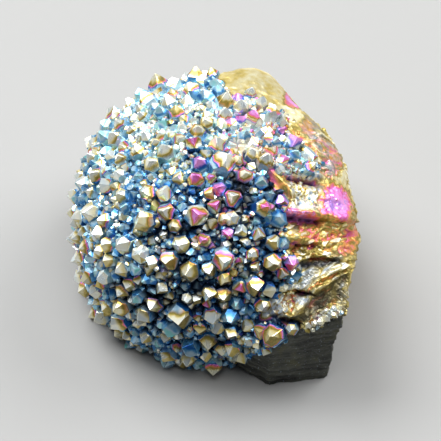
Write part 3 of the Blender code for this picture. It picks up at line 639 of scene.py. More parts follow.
def quartzSites():
    # of each big point: its root, axis, width and the seed of its own chances
    chance = random.Random(quartz["seed"])
    places = np.array([point[:2] for point in quartz["leading"]])
    widths = np.array([point[2] for point in quartz["leading"]]) * mm
    rise = quartz["shankRise"] + math.tan(quartz["tipSlope"]) / 2
    leading = sightedRoots(places, widths * rise)
    trials = []
    while len(trials) < quartz["trials"]:
        trial = chanceVector(chance).normalized()
        if trial.z > quartz["lowestTrial"]:
            trials.append(trial)
    direction = np.vstack([leading, np.array(trials)])
    roots = bedPoints(direction)
    normals = bedNormals(direction)
    allowed = (edgeMargin(roots) > quartz["edgeClearance"]) & (roots[:, 2] > quartz["lowestRoot"])
    room = np.full(len(roots), far)
    sites = []
    for number in range(quartz["count"]):
        if number < len(leading):
            k, width = number, widths[number]
        else:
            width = widthAt(quartz, (number - len(leading)) / (quartz["count"] - len(leading)))
            free = np.flatnonzero(allowed & (room > quartz["spacing"] * width / 2))
            if len(free) == 0:
                continue
            k = free[0]
        reach = np.linalg.norm(roots - roots[k], axis=1) - quartz["spacing"] * width / 2
        room = np.minimum(room, reach)
        axis = leaning(normals[k], quartz["lean"], chance)
        sites.append((Vector(roots[k]), axis, float(width), chance.randrange(1_000_000)))
    return sites


# Stone

def sprinkle(points, size, seed, octaves=1):
    # soft noise at the points, in -1 to 1
    shift = Vector((seed * 17.3, seed * 5.1, seed * 9.7))
    if octaves == 1:
        return np.array([noise.noise(Vector(p / size) + shift) for p in points])
    return np.array([noise.fractal(Vector(p / size) + shift, 1.0, 2.0, octaves) for p in points])


def drifts(points, size, seeds, octaves=1):
    return np.column_stack([sprinkle(points, size, seed, octaves) for seed in seeds])


def fracture(spots, seed):
    # small broken faces, each tilted its own way: their rise, own chance, and share of edge
    shift = Vector((seed * 3.1, seed * 7.7, seed * 1.9))
    rise, own, edge = np.empty(len(spots)), np.empty(len(spots)), np.empty(len(spots))
    for k, spot in enumerate(spots):
        spot = Vector(spot) + shift
        distances, centres = noise.voronoi(spot)
        tilt = noise.cell_vector(centres[0] * 41.7)
        slope = (tilt - Vector((0.5, 0.5, 0.5))).dot(spot - centres[0])
        rise[k] = slope * crumple["tilt"] + tilt.x * crumple["step"] - crumple["step"] / 2
        own[k] = tilt.y - 0.5
        edge[k] = max(0.0, 1.0 - (distances[1] - distances[0]) * crumple["edgeSharpness"])
    return rise, own, edge


def fineRelief(points, place, onFace, margin, wall):
    # the small forms of the bare stone, in mm, and how they change its film
    bare = easeStep(*stone["fadeAtDruse"], margin)
    knob = knobShare(unit(points - stone["heart"]), crumple["knobSpread"])
    rise = np.zeros(len(points))
    for height, size, seed, octaves, onKnob, onWall in crumple["swells"]:
        rise += (height * sprinkle(points, size * mm, seed, octaves)
                 * (1 - onKnob * knob) * (1 - onWall * wall))
    shift, edges = np.zeros(len(points)), np.zeros(len(points))
    toEdge = np.full(len(points), crumple["edgeFilm"])

    def breakUp(chosen, share, spots, seed, height, spread, edgeFilm):
        own = fracture(spots, seed)
        rise[chosen] += share * height * (own[0] - crumple["edgeDrop"] * own[2])
        shift[chosen] += share * spread * own[1] * 2.0
        stronger = share * own[2] > edges[chosen]
        toEdge[chosen] = np.where(stronger, edgeFilm, toEdge[chosen])
        edges[chosen] = np.maximum(edges[chosen], share * own[2])

    flat = np.column_stack([place, np.zeros(len(place))])
    size, warp = crumple["warp"]
    warped = place + drifts(flat, size * mm, (13, 14)) * warp * mm
    for number, (patch, run, size, length, *look) in enumerate(stone["fractures"]):
        weight = patchWeight(place, patch) * onFace * (bare > 0)
        chosen = np.flatnonzero(weight > crumple["leastWeight"])
        if len(chosen):
            along, over = turned(warped[chosen], run)
            spots = np.column_stack([along / (size * length * mm), over / (size * mm),
                                     np.zeros(len(chosen))])
            breakUp(chosen, weight[chosen], spots, number, *look)
    weight = (1 - onFace) * (1 - knob) * (1 - crumple["wallSmoothness"] * wall) * (bare > 0)
    chosen = np.flatnonzero(weight > crumple["leastWeight"])
    size, warp = crumple["warpBehind"]
    drift = drifts(points[chosen], size * mm, (15, 16, 17)) * warp
    for number, (size, *look) in enumerate(stone["fracturesBehind"]):
        spots = points[chosen] / (np.array(crumple["stretchBehind"]) * size * mm) + drift
        breakUp(chosen, weight[chosen], spots, 30 + number, *look)
    size, warp = crumple["ragged"]
    ragged = place + drifts(points, size * mm, (11, 12)) * warp * mm
    for crease in stone["creases"]:
        rise += onFace * ridgeRise(ragged, *crease)
    lipWidth, height, fade = stone["lipEdge"]
    lips = [(line, height, fade) for line, _, _ in stone["ledges"][1:]] + list(stone["fineLedges"])
    lipped = onFace * easeStep(*crumple["lipsEnd"], place[:, 0] / mm)
    for line, height, fade in lips:
        rise += lipped * ledgeRise(ragged, line, lipWidth, height, fade)
    height, size, seed, octaves, stretch = crumple["layers"]
    rise += wall * height * sprinkle(points * np.array(stretch), size * mm, seed, octaves)
    return rise * bare, shift, edges, toEdge


def rockShare(points, place, nearness, margin):
    # where the coating is missing and the grey rock shows
    inFront, atBack = stone["rockRaggedBy"]
    ragged = sprinkle(points, *stone["rockRagged"]) * inFront
    line = np.interp(place[:, 0] / mm, *np.array(stone["rockLine"]).T)
    height = points[:, 2] / mm
    front = easeStep(-0.5, 0.5, line - place[:, 1] / mm + ragged)
    behind = easeStep(-1.0, 1.0, stone["rockBehind"] - height + ragged * atBack)
    face = easeStep(*stone["rockFace"], nearness)
    share = np.maximum(front * face + behind * (1 - face), easeStep(*stone["rockAtFoot"], height))
    return share * easeStep(*stone["rockAtDruse"], margin)


def filmOver(points, place, onFace, shift, edges, toEdge):
    # thickness of the coating on the bare stone, as a place in the ramp of its colours, with its
    # ice and its painted shade
    drift = drifts(points, stone["filmDrift"], (21, 22), 2)
    narrow = place + drift * stone["strokeRagged"] * mm
    place = place + drift * stone["filmRagged"] * mm
    total = np.full(len(points), stone["elsewhereWeight"])
    film = total * stone["filmElsewhere"]

    def lay(weight, value):
        nonlocal film, total
        film = film + weight ** 2 * value
        total = total + weight ** 2

    for *patch, value, strength in stone["film"]:
        lay(patchWeight(place, patch) * strength, value)
    strokeShade = np.zeros(len(points))
    for line, half, value, strength, share in stone["strokes"]:
        nearest, _ = lineDistance(narrow, line)
        weight = np.exp(-((nearest / (half * mm)) ** 3))
        strokeShade = np.maximum(strokeShade, weight * share * onFace)
        lay(weight * strength, value)
    spread, *wave = stone["elsewhereDrift"]
    elsewhere = stone["filmElsewhere"] + spread * sprinkle(points, *wave)
    film = film / total * onFace + elsewhere * (1 - onFace) + shift
    growth, start, most = stone["filmOnEdges"]
    film += (toEdge - film) * np.clip(edges * growth + start, 0.0, most)

    def strongest(patches):
        found = np.zeros(len(points))
        for *patch, share in patches:
            found = np.maximum(found, patchWeight(place, patch) * share * onFace)
        return found

    ice = np.clip(strongest(stone["ice"]) * (1.0 + stone["iceOnFaces"] * shift), 0.0, 1.0)
    shade = np.maximum(strongest(stone["shade"]), strokeShade)
    return np.clip(film, *stone["filmRange"]), ice, shade


def dressStone(direction):
    # of each direction: its point on the finished stone and what that point carries
    plain = bedPoints(direction)
    place, nearness = sighted(plain)
    margin = druseMargin(plain)
    normals = bedNormals(direction)
    onFace = easeStep(*stone["faceTurned"], normals @ toward)
    wall = rockShare(plain, place, nearness, margin)
    rise, shift, edges, toEdge = fineRelief(plain, place, onFace, margin, wall)
    film, ice, shade = filmOver(plain, place, onFace, shift, edges, toEdge)
    carried = {"rise": rise, "film": film, "ice": ice, "shade": shade}
    return plain + normals * (rise * mm)[:, None], carried


def splitFaces(mesh, chosen):
    edges = {edge: True for face, taken in zip(mesh.faces, chosen) if taken for edge in face.edges}
    bmesh.ops.subdivide_edges(mesh, edges=list(edges), cuts=1, use_grid_fill=True)
    bmesh.ops.triangulate(mesh, faces=mesh.faces[:])


def cutBeyond(mesh, place, normal):
    # takes away what lies beyond a plane and gives the rim that is left there
    cut = bmesh.ops.bisect_plane(
        mesh, geom=mesh.verts[:] + mesh.edges[:] + mesh.faces[:], plane_co=place, plane_no=normal,
        clear_outer=True)
    return [item for item in cut["geom_cut"] if isinstance(item, bmesh.types.BMEdge)]


def setAttribute(mesh, name, values, domain="POINT"):
    layer = mesh.attributes.get(name) or mesh.attributes.new(name, "FLOAT", domain)
    layer.data.foreach_set("value", np.asarray(values, np.float32))


def meshData(name, mesh):
    data = bpy.data.meshes.new(name)
    mesh.to_mesh(data)
    mesh.free()
    return data


def cornersOf(data):
    points = np.empty(len(data.vertices) * 3)
    data.vertices.foreach_get("co", points)
    return points.reshape(-1, 3)


def makeStone():
    mesh = bmesh.new()
    bmesh.ops.create_icosphere(mesh, subdivisions=stone["fineness"], radius=1.0)
    for _ in range(2):
        plain = plainPoints(unit(np.array([face.calc_center_median() for face in mesh.faces])))
        bare = druseMargin(plain) < stone["bareMargin"]
        splitFaces(mesh, bare & (plain[:, 2] > stone["lowestFine"]))
    for longest in stone["longestEdges"][:4]:
        mesh.verts.index_update()
        places = plainPoints(unit(np.array([vertex.co for vertex in mesh.verts])))
        corners = places[np.array([[vertex.index for vertex in face.verts] for face in mesh.faces])]
        sides = np.linalg.norm(corners - np.roll(corners, 1, axis=1), axis=2).max(axis=1)
        centres = corners.mean(axis=1)
        _, nearness = sighted(centres)
        splitFaces(mesh, (sides > longest) & (druseMargin(centres) < stone["bareMargin"])
                   & (centres[:, 2] > 0) & (nearness > stone["finestBehind"]))
    points, carried = dressStone(unit(np.array([vertex.co for vertex in mesh.verts])))
    layers = [mesh.verts.layers.float.new(name) for name in carried]
    for vertex, point, values in zip(mesh.verts, points, zip(*carried.values())):
        vertex.co = point
        for layer, value in zip(layers, values):
            vertex[layer] = value
    rim = cutBeyond(mesh, (0, 0, 0), (0, 0, -1))
    bmesh.ops.triangulate(mesh, faces=bmesh.ops.edgeloop_fill(mesh, edges=rim)["faces"])
    bmesh.ops.recalc_face_normals(mesh, faces=mesh.faces[:])
    for face in mesh.faces:
        face.smooth = True
    data = meshData("stone", mesh)
    points = cornersOf(data)
    margin = druseMargin(points)
    setAttribute(data, "rock", rockShare(points, *sighted(points), margin))
    setAttribute(data, "druse", easeStep(*stone["druseShade"], margin))
    return data


def joined(name, data):
    made = bpy.data.objects.new(name, data)
    bpy.context.scene.collection.objects.link(made)
    return made


# Nodes

def newSocket(tree, name, kind, value=None, output=False):
    socket = tree.interface.new_socket(name, in_out="OUTPUT" if output else "INPUT",
                                       socket_type="NodeSocket" + kind)
    if value is not None:
        socket.default_value = value


class Wiring:
    # short hands for one tree of nodes; a value may be a number or another node's output
    def __init__(self, tree):
        self.tree = tree

    def put(self, socket, value):
        if hasattr(value, "is_output"):
            self.tree.links.new(value, socket)
        elif value is not None:
            socket.default_value = value

    def fill(self, node, sockets):
        for key, value in sockets.items():
            self.put(node.inputs[key], value)
        return node

    def node(self, kind, sockets=None, **settings):
        made = self.tree.nodes.new(kind)
        for key, value in settings.items():
            setattr(made, key, value)
        return self.fill(made, sockets or {})

    def maths(self, operation, *values, clamp=False):
        made = self.node("ShaderNodeMath", operation=operation, use_clamp=clamp)
        return self.fill(made, dict(enumerate(values))).outputs[0]

    def plus(self, a, b):
        return self.maths("ADD", a, b)

    def less(self, a, b):
        return self.maths("SUBTRACT", a, b)

    def times(self, a, b):
        return self.maths("MULTIPLY", a, b)

    def scaled(self, value, factor, offset):
        return self.maths("MULTIPLY_ADD", value, factor, offset)

    def between(self, a, b, share):
        return self.plus(a, self.times(self.less(b, a), share))

    def own(self, name):
        return self.node("ShaderNodeAttribute", attribute_name=name).outputs["Fac"]

    def ease(self, value, low, high, start=0.0, end=1.0):
        sockets = dict(enumerate((value, low, high, start, end)))
        return self.node("ShaderNodeMapRange", sockets, interpolation_type="SMOOTHSTEP").outputs[0]

    def blend(self, share, a, b):
        return self.node("ShaderNodeMix", {0: share, 6: a, 7: b}, data_type="RGBA").outputs[2]

    def bump(self, height, strength, distance, normal=None):
        return self.node("ShaderNodeBump", {
            "Strength": strength, "Distance": distance, "Height": height, "Normal": normal,
        }).outputs["Normal"]

    def noise(self, size, detail=2.0, roughness=0.5, stretch=None):
        place = self.node("ShaderNodeTexCoord").outputs["Object"]
        if stretch:
            place = self.node("ShaderNodeMapping", {"Vector": place, "Scale": stretch}).outputs[0]
        return self.node("ShaderNodeTexNoise", {
            "Vector": place, "Scale": size, "Detail": detail, "Roughness": roughness,
        }).outputs["Fac"]


# Points

def cutAway(mesh, normal, distance):
    normal = Vector(normal).normalized()
    rim = cutBeyond(mesh, normal * distance, normal)
    if rim:
        bmesh.ops.contextual_create(mesh, geom=rim)


def eitherWay(chance, reach):
    return chance.uniform(-reach, reach)


def quartzShape(name, seed, threeFaced, length, bevel):
    # one point, a width across, with its apex at the origin and its shank running down
    chance = random.Random(seed)
    slope = math.tan(quartz["tipSlope"])
    mesh = bmesh.new()
    bmesh.ops.create_cube(mesh, size=4.0)
    bmesh.ops.translate(mesh, verts=mesh.verts, vec=(0, 0, 2.0 - length))
    for side in range(6):
        turn = math.tau * (side + 0.5) / 6 + eitherWay(chance, habit["shankTurn"])
        taper = chance.uniform(0.0, habit["taper"])
        reach = 0.5 * chance.uniform(*habit["shankReach"])
        cutAway(mesh, (math.cos(turn), math.sin(turn), taper), reach)
    for side in range(6):
        turn = math.tau * (side + (0 if threeFaced else 0.5)) / 6
        turn += eitherWay(chance, habit["tipTurn"])
        long = side % 2 == 0
        setBack = chance.uniform(*habit["longSetBack" if long else "shortSetBack"])
        if threeFaced and not long:
            setBack = chance.uniform(*habit["loneSetBack"])
        steep = slope * chance.uniform(*habit["steepness"])
        normal = Vector((steep * math.cos(turn), steep * math.sin(turn), 1.0)).normalized()
        cutAway(mesh, normal, normal.z * setBack)
    if chance.random() < habit["chippedShare"]:
        turn = chance.uniform(0, math.tau)
        aside = habit["chipSlope"]
        cutAway(mesh, (aside * math.cos(turn), aside * math.sin(turn), 1.0), -habit["chipDepth"])
    if bevel:
        bmesh.ops.bevel(mesh, geom=mesh.edges[:], offset=bevel, segments=1, affect="EDGES",
                        clamp_overlap=True)
    bmesh.ops.recalc_face_normals(mesh, faces=mesh.faces[:])
    top = max(vertex.co.z for vertex in mesh.verts)
    bmesh.ops.translate(mesh, verts=mesh.verts, vec=(0, 0, -top))
    data = meshData(name, mesh)
    drop = [max(0.0, -vertex.co.z) / (0.5 * slope) for vertex in data.vertices]
    setAttribute(data, "drop", drop)
    shank = [1.0 if face.normal.z < habit["shankLimit"] else 0.0 for face in data.polygons]
    setAttribute(data, "shank", shank, "FACE")
    return bpy.data.objects.new(name, data)


def shapeSet(own, threeFaced):
    # the shapes that a kind of point picks from
    made = bpy.data.collections.new(own["shape"] + "s")
    for number, three in enumerate(threeFaced):
        name = f"{own['shape']}{number:02d}"
        seed = own["shapeSeed"] + number
        made.objects.link(quartzShape(name, seed, three, own["length"], own["bevel"]))
    bpy.context.scene.collection.children.link(made)
    return made


def growTree():
    # stands a shape on every point: its turn, size and kind are the point's own attributes
    w = Wiring(bpy.data.node_groups.new("growQuartz", "GeometryNodeTree"))
    for name, kind in (("Points", "Geometry"), ("Shapes", "Collection"), ("Girth", "Float"),
                       ("Sway", "Float"), ("Seed", "Int"), ("Finish", "Material")):
        newSocket(w.tree, name, kind)
    newSocket(w.tree, "Druse", "Geometry", output=True)
    given = w.node("NodeGroupInput").outputs

    def ownValue(name, kind):
        read = w.node("GeometryNodeInputNamedAttribute", {"Name": name}, data_type=kind)
        return read.outputs["Attribute"]

    shapes = w.node("GeometryNodeCollectionInfo", {
        "Collection": given["Shapes"], "Separate Children": True, "Reset Children": True})
    stretch = w.node("ShaderNodeCombineXYZ", {"X": given["Girth"], "Y": given["Girth"], "Z": 1.0})
    size = w.node("ShaderNodeVectorMath", {
        0: ownValue("size", "FLOAT_VECTOR"), 1: stretch.outputs[0]}, operation="MULTIPLY")
    stand = w.node("GeometryNodeInstanceOnPoints", {
        "Points": given["Points"], "Pick Instance": True, "Instance": shapes.outputs["Instances"],
        "Instance Index": ownValue("kind", "INT"), "Rotation": ownValue("turn", "FLOAT_VECTOR"),
        "Scale": size.outputs[0]})
    sway = w.node("FunctionNodeRandomValue", {
        "Min": w.times(given["Sway"], -1.0), "Max": given["Sway"], "Seed": given["Seed"],
    }, data_type="FLOAT_VECTOR")
    lean = w.node("GeometryNodeRotateInstances", {
        "Instances": stand.outputs["Instances"], "Rotation": sway.outputs["Value"]})
    real = w.node("GeometryNodeRealizeInstances", {"Geometry": lean.outputs["Instances"]})
    finish = w.node("GeometryNodeSetMaterial", {
        "Geometry": real.outputs["Geometry"], "Material": given["Finish"]})
    w.node("NodeGroupOutput", {"Druse": finish.outputs["Geometry"]})
    return w.tree


def grow(name, tree, sites, shapes, material, own):
    # each site has its apex, turn, size, kind, films and tone, as pointSite gives them
    data = bpy.data.meshes.new(name + ".sites")
    data.from_pydata([site["apex"] for site in sites], [], [])
    for key in ("turn", "size"):
        layer = data.attributes.new(key, "FLOAT_VECTOR", "POINT")
        values = np.array([site[key] for site in sites], np.float32)
        layer.data.foreach_set("vector", values.ravel())
    layer = data.attributes.new("kind", "INT", "POINT")
    layer.data.foreach_set("value", np.array([site["kind"] for site in sites], np.int32))
    for key in ("apexFilm", "rimFilm", "tone"):
        setAttribute(data, key, [site[key] for site in sites])
    carrier = joined(name + ".carrier", data)
    modifier = carrier.modifiers.new("growQuartz", "NODES")
    modifier.node_group = tree
    values = {"Shapes": shapes, "Girth": own["girth"], "Sway": own["sway"], "Seed": own["swaySeed"],
              "Finish": material}
    for item in tree.interface.items_tree:
        if item.name in values:
            modifier[item.identifier] = values[item.name]
    graph = bpy.context.evaluated_depsgraph_get()
    grown = bpy.data.meshes.new_from_object(
        carrier.evaluated_get(graph), preserve_all_data_layers=True, depsgraph=graph)
    grown.name = name
    bpy.data.objects.remove(carrier)
    settle(grown)
    if not own["onDruse"]:
        setAttribute(grown, "height", np.full(len(grown.vertices), own["height"]))
        setAttribute(grown, "drop", np.zeros(len(grown.vertices)))
        setAttribute(grown, "shank", np.zeros(len(grown.polygons)), "FACE")
    return joined(name, grown)


def paleShare(place):
    # where the gaps between the points get less painted shade and paler films, above zero, or more
    # painted shade, below it
    pale = np.zeros(len(place))
    for patch, share in quartz["pale"]:
        weight = patchWeight(place, patch)
        if share > 0:
            pale = np.maximum(pale, weight * share)
        else:
            pale = pale * (1.0 - weight) + weight * share * quartz["gapShadeDeepening"]
    return pale


def settle(data):
    # flattens what would pass under the floor, and notes where every corner and face is
    points = cornersOf(data)
    points[:, 2] = np.maximum(points[:, 2], 0.0)
    data.vertices.foreach_set("co", points.ravel())
    offset = points - stone["heart"]
    reach = np.linalg.norm(offset, axis=1)
    place, _ = sighted(points)
    pale = paleShare(place)
    setAttribute(data, "pale", pale)
    setAttribute(data, "warm", patchWeight(place, quartz["warm"]))
    # height above the bed, lifted where the gaps are pale; the points get painted shade as it falls
    height = (reach - bedReach(offset / reach[:, None])) / mm
    setAttribute(data, "height", height + quartz["shadeLiftWherePale"] * pale)
    chance = np.random.default_rng(len(points))
    setAttribute(data, "facet", chance.random(len(data.polygons)), "FACE")
    data.update()
    normals = np.array([polygon.normal for polygon in data.polygons])
    middles, _ = sighted(np.array([polygon.center for polygon in data.polygons]))
    # faces turned down get painted shade, less of it where the druse is pale
    paintedDownShade = easeStep(*quartz["shadedFacingRange"], normals @ unit(np.array(quartz["shadedFacing"])))
    paintedDownShade *= 1.0 - quartz["shadedFacingSpared"] * np.clip(paleShare(middles), 0.0, 1.0)
    setAttribute(data, "paintedDownShade", paintedDownShade, "FACE")


def surroundings(points):
    # of each point: its place and nearness in mm, its paleness and a slow drift of the colours
    place, nearness = sighted(points)
    pale = np.maximum(0.0, paleShare(place))
    drift = sprinkle(points, 9 * mm, 0)
    return list(zip(place[:, 0] / mm, place[:, 1] / mm, nearness / mm, pale, drift))


def filmFor(chance, around):
    # which film a point takes, from where it stands
    x, y, nearness, pale, drift = around
    if nearness < regions["faceEnds"]:
        pink = regions["pinkBehind"] + regions["pinkBehind"] * drift
    else:
        toRight = x - regions["pinkTilt"] * (y - regions["pinkLevel"])
        pink = regions["pinkInFront"] * easeStep(*regions["pinkAcross"], toRight)
        low = regions["pinkBelow"]
        pink *= low + (1.0 - low) * easeStep(*regions["pinkUp"], y)
    if chance.random() < pink:
        return chance.choice(mixes["pink"])
    cool = easeStep(*regions["coolAcross"], x + regions["coolTilt"] * y)
    if chance.random() < regions["paleMost"] * max(pale, cool):
        return chance.choice(mixes["cool" if cool > pale else "pale"])
    return chance.choice(mixes["warm"])


def pointSite(root, axis, width, peak, stretch, turn, kind, film, chance):
    place = axis.to_track_quat("Z", "Y").to_matrix() @ Matrix.Rotation(turn, 3, "Z")
    apexFilm, rimFilm = films[film]
    return {
        "apex": root + axis * peak,
        "turn": tuple(place.to_euler()),
        "size": (width, width, width * stretch),
        "kind": kind,
        "apexFilm": apexFilm + eitherWay(chance, habit["apexFilm"]),
        "rimFilm": rimFilm + eitherWay(chance, habit["rimFilm"]),
        "tone": chance.random(),
    }


def bigSites(sites):
    chance = random.Random(5)
    roots = np.array([root for root, _, _, _ in sites])
    around = surroundings(roots)
    margins = ringMargin(roots, stone["clearings"])
    made = []
    for number, (root, axis, width, fate) in enumerate(sites):
        own = random.Random(fate)
        turn = own.uniform(0, math.tau)
        threeFaced = own.random() < quartz["threeFacedShare"]
        stretch = own.uniform(*quartz["slopeRange"])
        slope = math.tan(quartz["tipSlope"]) * stretch
        peak = width * quartz["shankRise"] * own.uniform(*quartz["shankRange"]) + width / 2 * slope
        kind = chance.randrange(quartz["shapes"]) + (quartz["shapes"] if threeFaced else 0)
        if number < len(quartz["leading"]):
            film = quartz["leading"][number][3]
        else:
            film = filmFor(chance, around[number])
        made.append(pointSite(root, axis, width, peak, stretch, turn, kind, film, chance))
    return [site for site, margin in zip(made, margins) if margin > 0]


# The small points that fill the druse between the big ones, and the seed crystals between those.
small = {
    "seed": 11,
    "trials": 60000,
    "count": 760,
    "widest": 2.5 * mm,
    "narrowest": 1.2 * mm,
    "narrowing": 0.7,
    "widthRange": (0.85, 1.15),
    "slopeRange": (0.8, 1.25),
    "besideBig": 0.42,  # how near they stand, in widths of the big points
    "besideOwn": 0.44,
    "lowestTrial": -0.5,
    "lowestRoot": 0.3 * mm,
    "plainMargin": -0.5 * mm,
    "lean": 0.32,
    "peak": (0.55, 1.20),
    "blue": 0.62,
    "bluePale": 0.8,  # how much less of that there is where the druse is pale
    "girth": 1.0,
    "sway": 0.12,
    "swaySeed": 3,
    "onDruse": True,
    "shape": "smallShape",
    "shapes": 6,
    "shapeSeed": 200,
    "length": 1.7,
    "bevel": 0.0,
}
seedlings = {
    **small,
    "seed": 12,
    "trials": 90000,
    "count": 2600,
    "widest": 1.15 * mm,
    "narrowest": 0.55 * mm,
    "narrowing": 0.8,
    "besideBig": 0.34,
    "besideOwn": 0.36,
    "lean": 0.55,
    "peak": (0.8, 1.9),
    "blue": 0.80,
    "sway": 0.2,
    "swaySeed": 5,
}


def smallSites(own, taken):
    # taken: root and width of what stands there already
    chance = random.Random(own["seed"])
    direction = unit(np.random.default_rng(own["seed"]).normal(size=(own["trials"], 3)))
    direction = direction[direction[:, 2] > own["lowestTrial"]]
    plain = plainPoints(direction)
    direction = direction[(druseMargin(plain) > own["plainMargin"]) & (plain[:, 2] > 0)]
    roots = bedPoints(direction)
    allowed = (druseMargin(roots) > 0.0) & (roots[:, 2] > own["lowestRoot"])
    direction, roots = direction[allowed], roots[allowed]
    normals = bedNormals(direction)
    room = np.full(len(roots), far)
    for root, width in taken:
        reach = np.linalg.norm(roots - np.array(root), axis=1) - own["besideBig"] * width
        room = np.minimum(room, reach)
    made = []
    coarseRoots = roots.astype(np.float32)
    around = surroundings(roots)
    for number in range(own["count"]):
        width = widthAt(own, number / own["count"]) * chance.uniform(*own["widthRange"])
        fits = room > own["besideOwn"] * width
        k = int(np.argmax(fits))
        if not fits[k]:
            continue
        away = coarseRoots - coarseRoots[k]
        reach = np.sqrt(np.einsum("ij,ij->i", away, away)) - own["besideOwn"] * width
        room = np.minimum(room, reach)
        axis = leaning(normals[k], own["lean"], chance)
        peak = width * chance.uniform(*own["peak"])
        root = Vector(roots[k])
        film = filmFor(chance, around[k])
        if chance.random() < own["blue"] * (1.0 - own["bluePale"] * around[k][3]):
            film = chance.choice(mixes["between"])
        made.append(pointSite(root, axis, width, peak, chance.uniform(*own["slopeRange"]),
                              chance.uniform(0, math.tau), chance.randrange(own["shapes"]),
                              film, chance))
        taken.append((root, width))
    return made


# Tiny crystals, like sugar, on the bare stone.
sugar = {
    "seed": 23,
    "trials": 90000,
    "scatter": 0.55,
    "toward": (0.75, -0.45, 0.3),
    # centre across and up, reach along and over, turn, how many, smallest and largest in mm
    "patches": (
        ((18.4, 14.0, 4.0, 2.0, -20), 14, 0.35, 0.7),
        ((24.0, 12.6, 3.8, 3.4, 0), 4, 0.4, 0.7),
        ((19.5, 2.8, 5.0, 1.4, 0), 16, 0.40, 0.8),
        ((22.2, -10.2, 4.4, 1.2, 28), 110, 0.75, 1.45),
        ((26.2, -5.6, 1.2, 3.8, 0), 30, 0.5, 0.9),
        ((17.6, 21.0, 4.0, 2.2, -24), 36, 0.6, 1.3),
        ((15.0, 27.0, 3.0, 3.0, -30), 14, 0.4, 0.9),
    ),
    "margin": 0.5 * mm,
    "behind": -6 * mm,
    "lowest": 1 * mm,
    "besideOwn": (0.45, 0.42),  # how near they stand, in their own widths and in their neighbour's
    "leastWeight": 0.1,
    "lean": 0.4,
    "peak": (0.35, 0.75),
    "slopeRange": (0.7, 1.1),
    "icyFrom": 0.3,
    "filmSpread": 0.03,
    # given to all their corners as their height, so they get no painted shade
    "height": 2.0,
    "icyFilms": (0.0, 0.05, 0.05, 0.10, 0.84, 0.90, 0.92, 0.16),
    "shape": "sugarShape",
    "shapes": 4,
    "shapeSeed": 300,
    "length": 1.2,
    "bevel": 0.0,
    "girth": 1.0,
    "sway": 0.15,
    "swaySeed": 4,
    "onDruse": False,
}


def sugarSites():
    chance = random.Random(sugar["seed"])
    trials = np.random.default_rng(sugar["seed"]).normal(size=(sugar["trials"], 3))
    direction = unit(trials * sugar["scatter"] + np.array(sugar["toward"]))
    plain = plainPoints(direction)
    _, nearness = sighted(plain)
    chosen = ((druseMargin(plain) < sugar["margin"]) & (nearness > sugar["behind"])
              & (plain[:, 2] > sugar["lowest"]))
    direction = direction[chosen]
    normals = bedNormals(direction)
    roots, carried = dressStone(direction)
    place, _ = sighted(bedPoints(direction))
    room = np.full(len(roots), far)
    ownRoom, besideRoom = sugar["besideOwn"]
    least = sugar["leastWeight"]
    made = []
    for patch, count, smallest, largest in sugar["patches"]:
        weight = patchWeight(place, patch)
        for _ in range(count):
            width = chance.uniform(smallest, largest) * mm
            wanted = weight > chance.random() * (1.0 - least) + least
            free = np.flatnonzero((room > ownRoom * width) & wanted)
            if len(free) == 0:
                continue
            k = free[chance.randrange(len(free))]
            reach = np.linalg.norm(roots - roots[k], axis=1) - besideRoom * width
            room = np.minimum(room, reach)
            axis = leaning(normals[k], sugar["lean"], chance)
            own = pointSite(Vector(roots[k]), axis, width, width * chance.uniform(*sugar["peak"]),
                            chance.uniform(*sugar["slopeRange"]), chance.uniform(0, math.tau),
                            chance.randrange(sugar["shapes"]), "cream", chance)
            if carried["ice"][k] > sugar["icyFrom"]:
                shade = chance.choice(sugar["icyFilms"])
            else:
                spread = sugar["filmSpread"]
                shade = max(spread, float(carried["film"][k]) + chance.gauss(0, spread))
            own["apexFilm"] = own["rimFilm"] = shade
            made.append(own)
    return made


# Materials

# Colours of the coating from thin to thick, in sRGB, and the others.
filmColours = (
    (0.00, (226, 238, 244)), (0.07, (254, 252, 238)), (0.14, (246, 238, 194)),
    (0.21, (220, 196, 108)), (0.28, (138, 126, 56)), (0.35, (230, 164, 84)),
    (0.43, (242, 130, 140)), (0.49, (236, 108, 192)), (0.54, (250, 170, 240)),
    (0.60, (200, 148, 234)), (0.67, (48, 84, 176)), (0.74, (24, 102, 176)),
    (0.83, (92, 160, 204)), (0.91, (184, 210, 224)), (1.00, (118, 202, 198)),
)
tints = {
    # the colour of the painted shade
    "depth": (14, 36, 62),
    "pearl": (224, 232, 220),
    "warm": (228, 204, 178),
    "ice": (86, 138, 196),
    "frost": (226, 236, 242),
    "darkRock": (36, 37, 33),
    "paleRock": (82, 84, 74),
    "stain": (78, 76, 44),
    "speck": (150, 162, 176),
}


def linearColour(colour):
    linear = [((c / 255 + 0.055) / 1.055) ** 2.4 if c > 10 else c / 255 / 12.92 for c in colour]
    return linear + [1.0]


def auraGroup():
    # film thickness to colour, with painted shade: darker and bluer by its Depth
    w = Wiring(bpy.data.node_groups.new("auraFilm", "ShaderNodeTree"))
    for name, value in (("Film", 0.2), ("Depth", 0.0), ("Mottle", 0.04), ("Mottle Size", 900.0)):
        newSocket(w.tree, name, "Float", value)
    newSocket(w.tree, "Colour", "Color", output=True)
    newSocket(w.tree, "Grain", "Float", output=True)
    given = w.node("NodeGroupInput").outputs
    mottle = w.noise(given["Mottle Size"], 3.0)
    drift = w.times(w.less(mottle, 0.5), given["Mottle"])
    ramp = w.node("ShaderNodeValToRGB", {"Fac": w.scaled(drift, 4.0, given["Film"])})
    ramp.color_ramp.interpolation = "LINEAR"
    while len(ramp.color_ramp.elements) < len(filmColours):
        ramp.color_ramp.elements.new(0.5)
    for element, (position, colour) in zip(ramp.color_ramp.elements, filmColours):
        element.position = position
        element.color = linearColour(colour)
    coloured = w.blend(given["Depth"], ramp.outputs["Color"], linearColour(tints["depth"]))
    w.node("NodeGroupOutput", {"Colour": coloured, "Grain": mottle})
    return w.tree


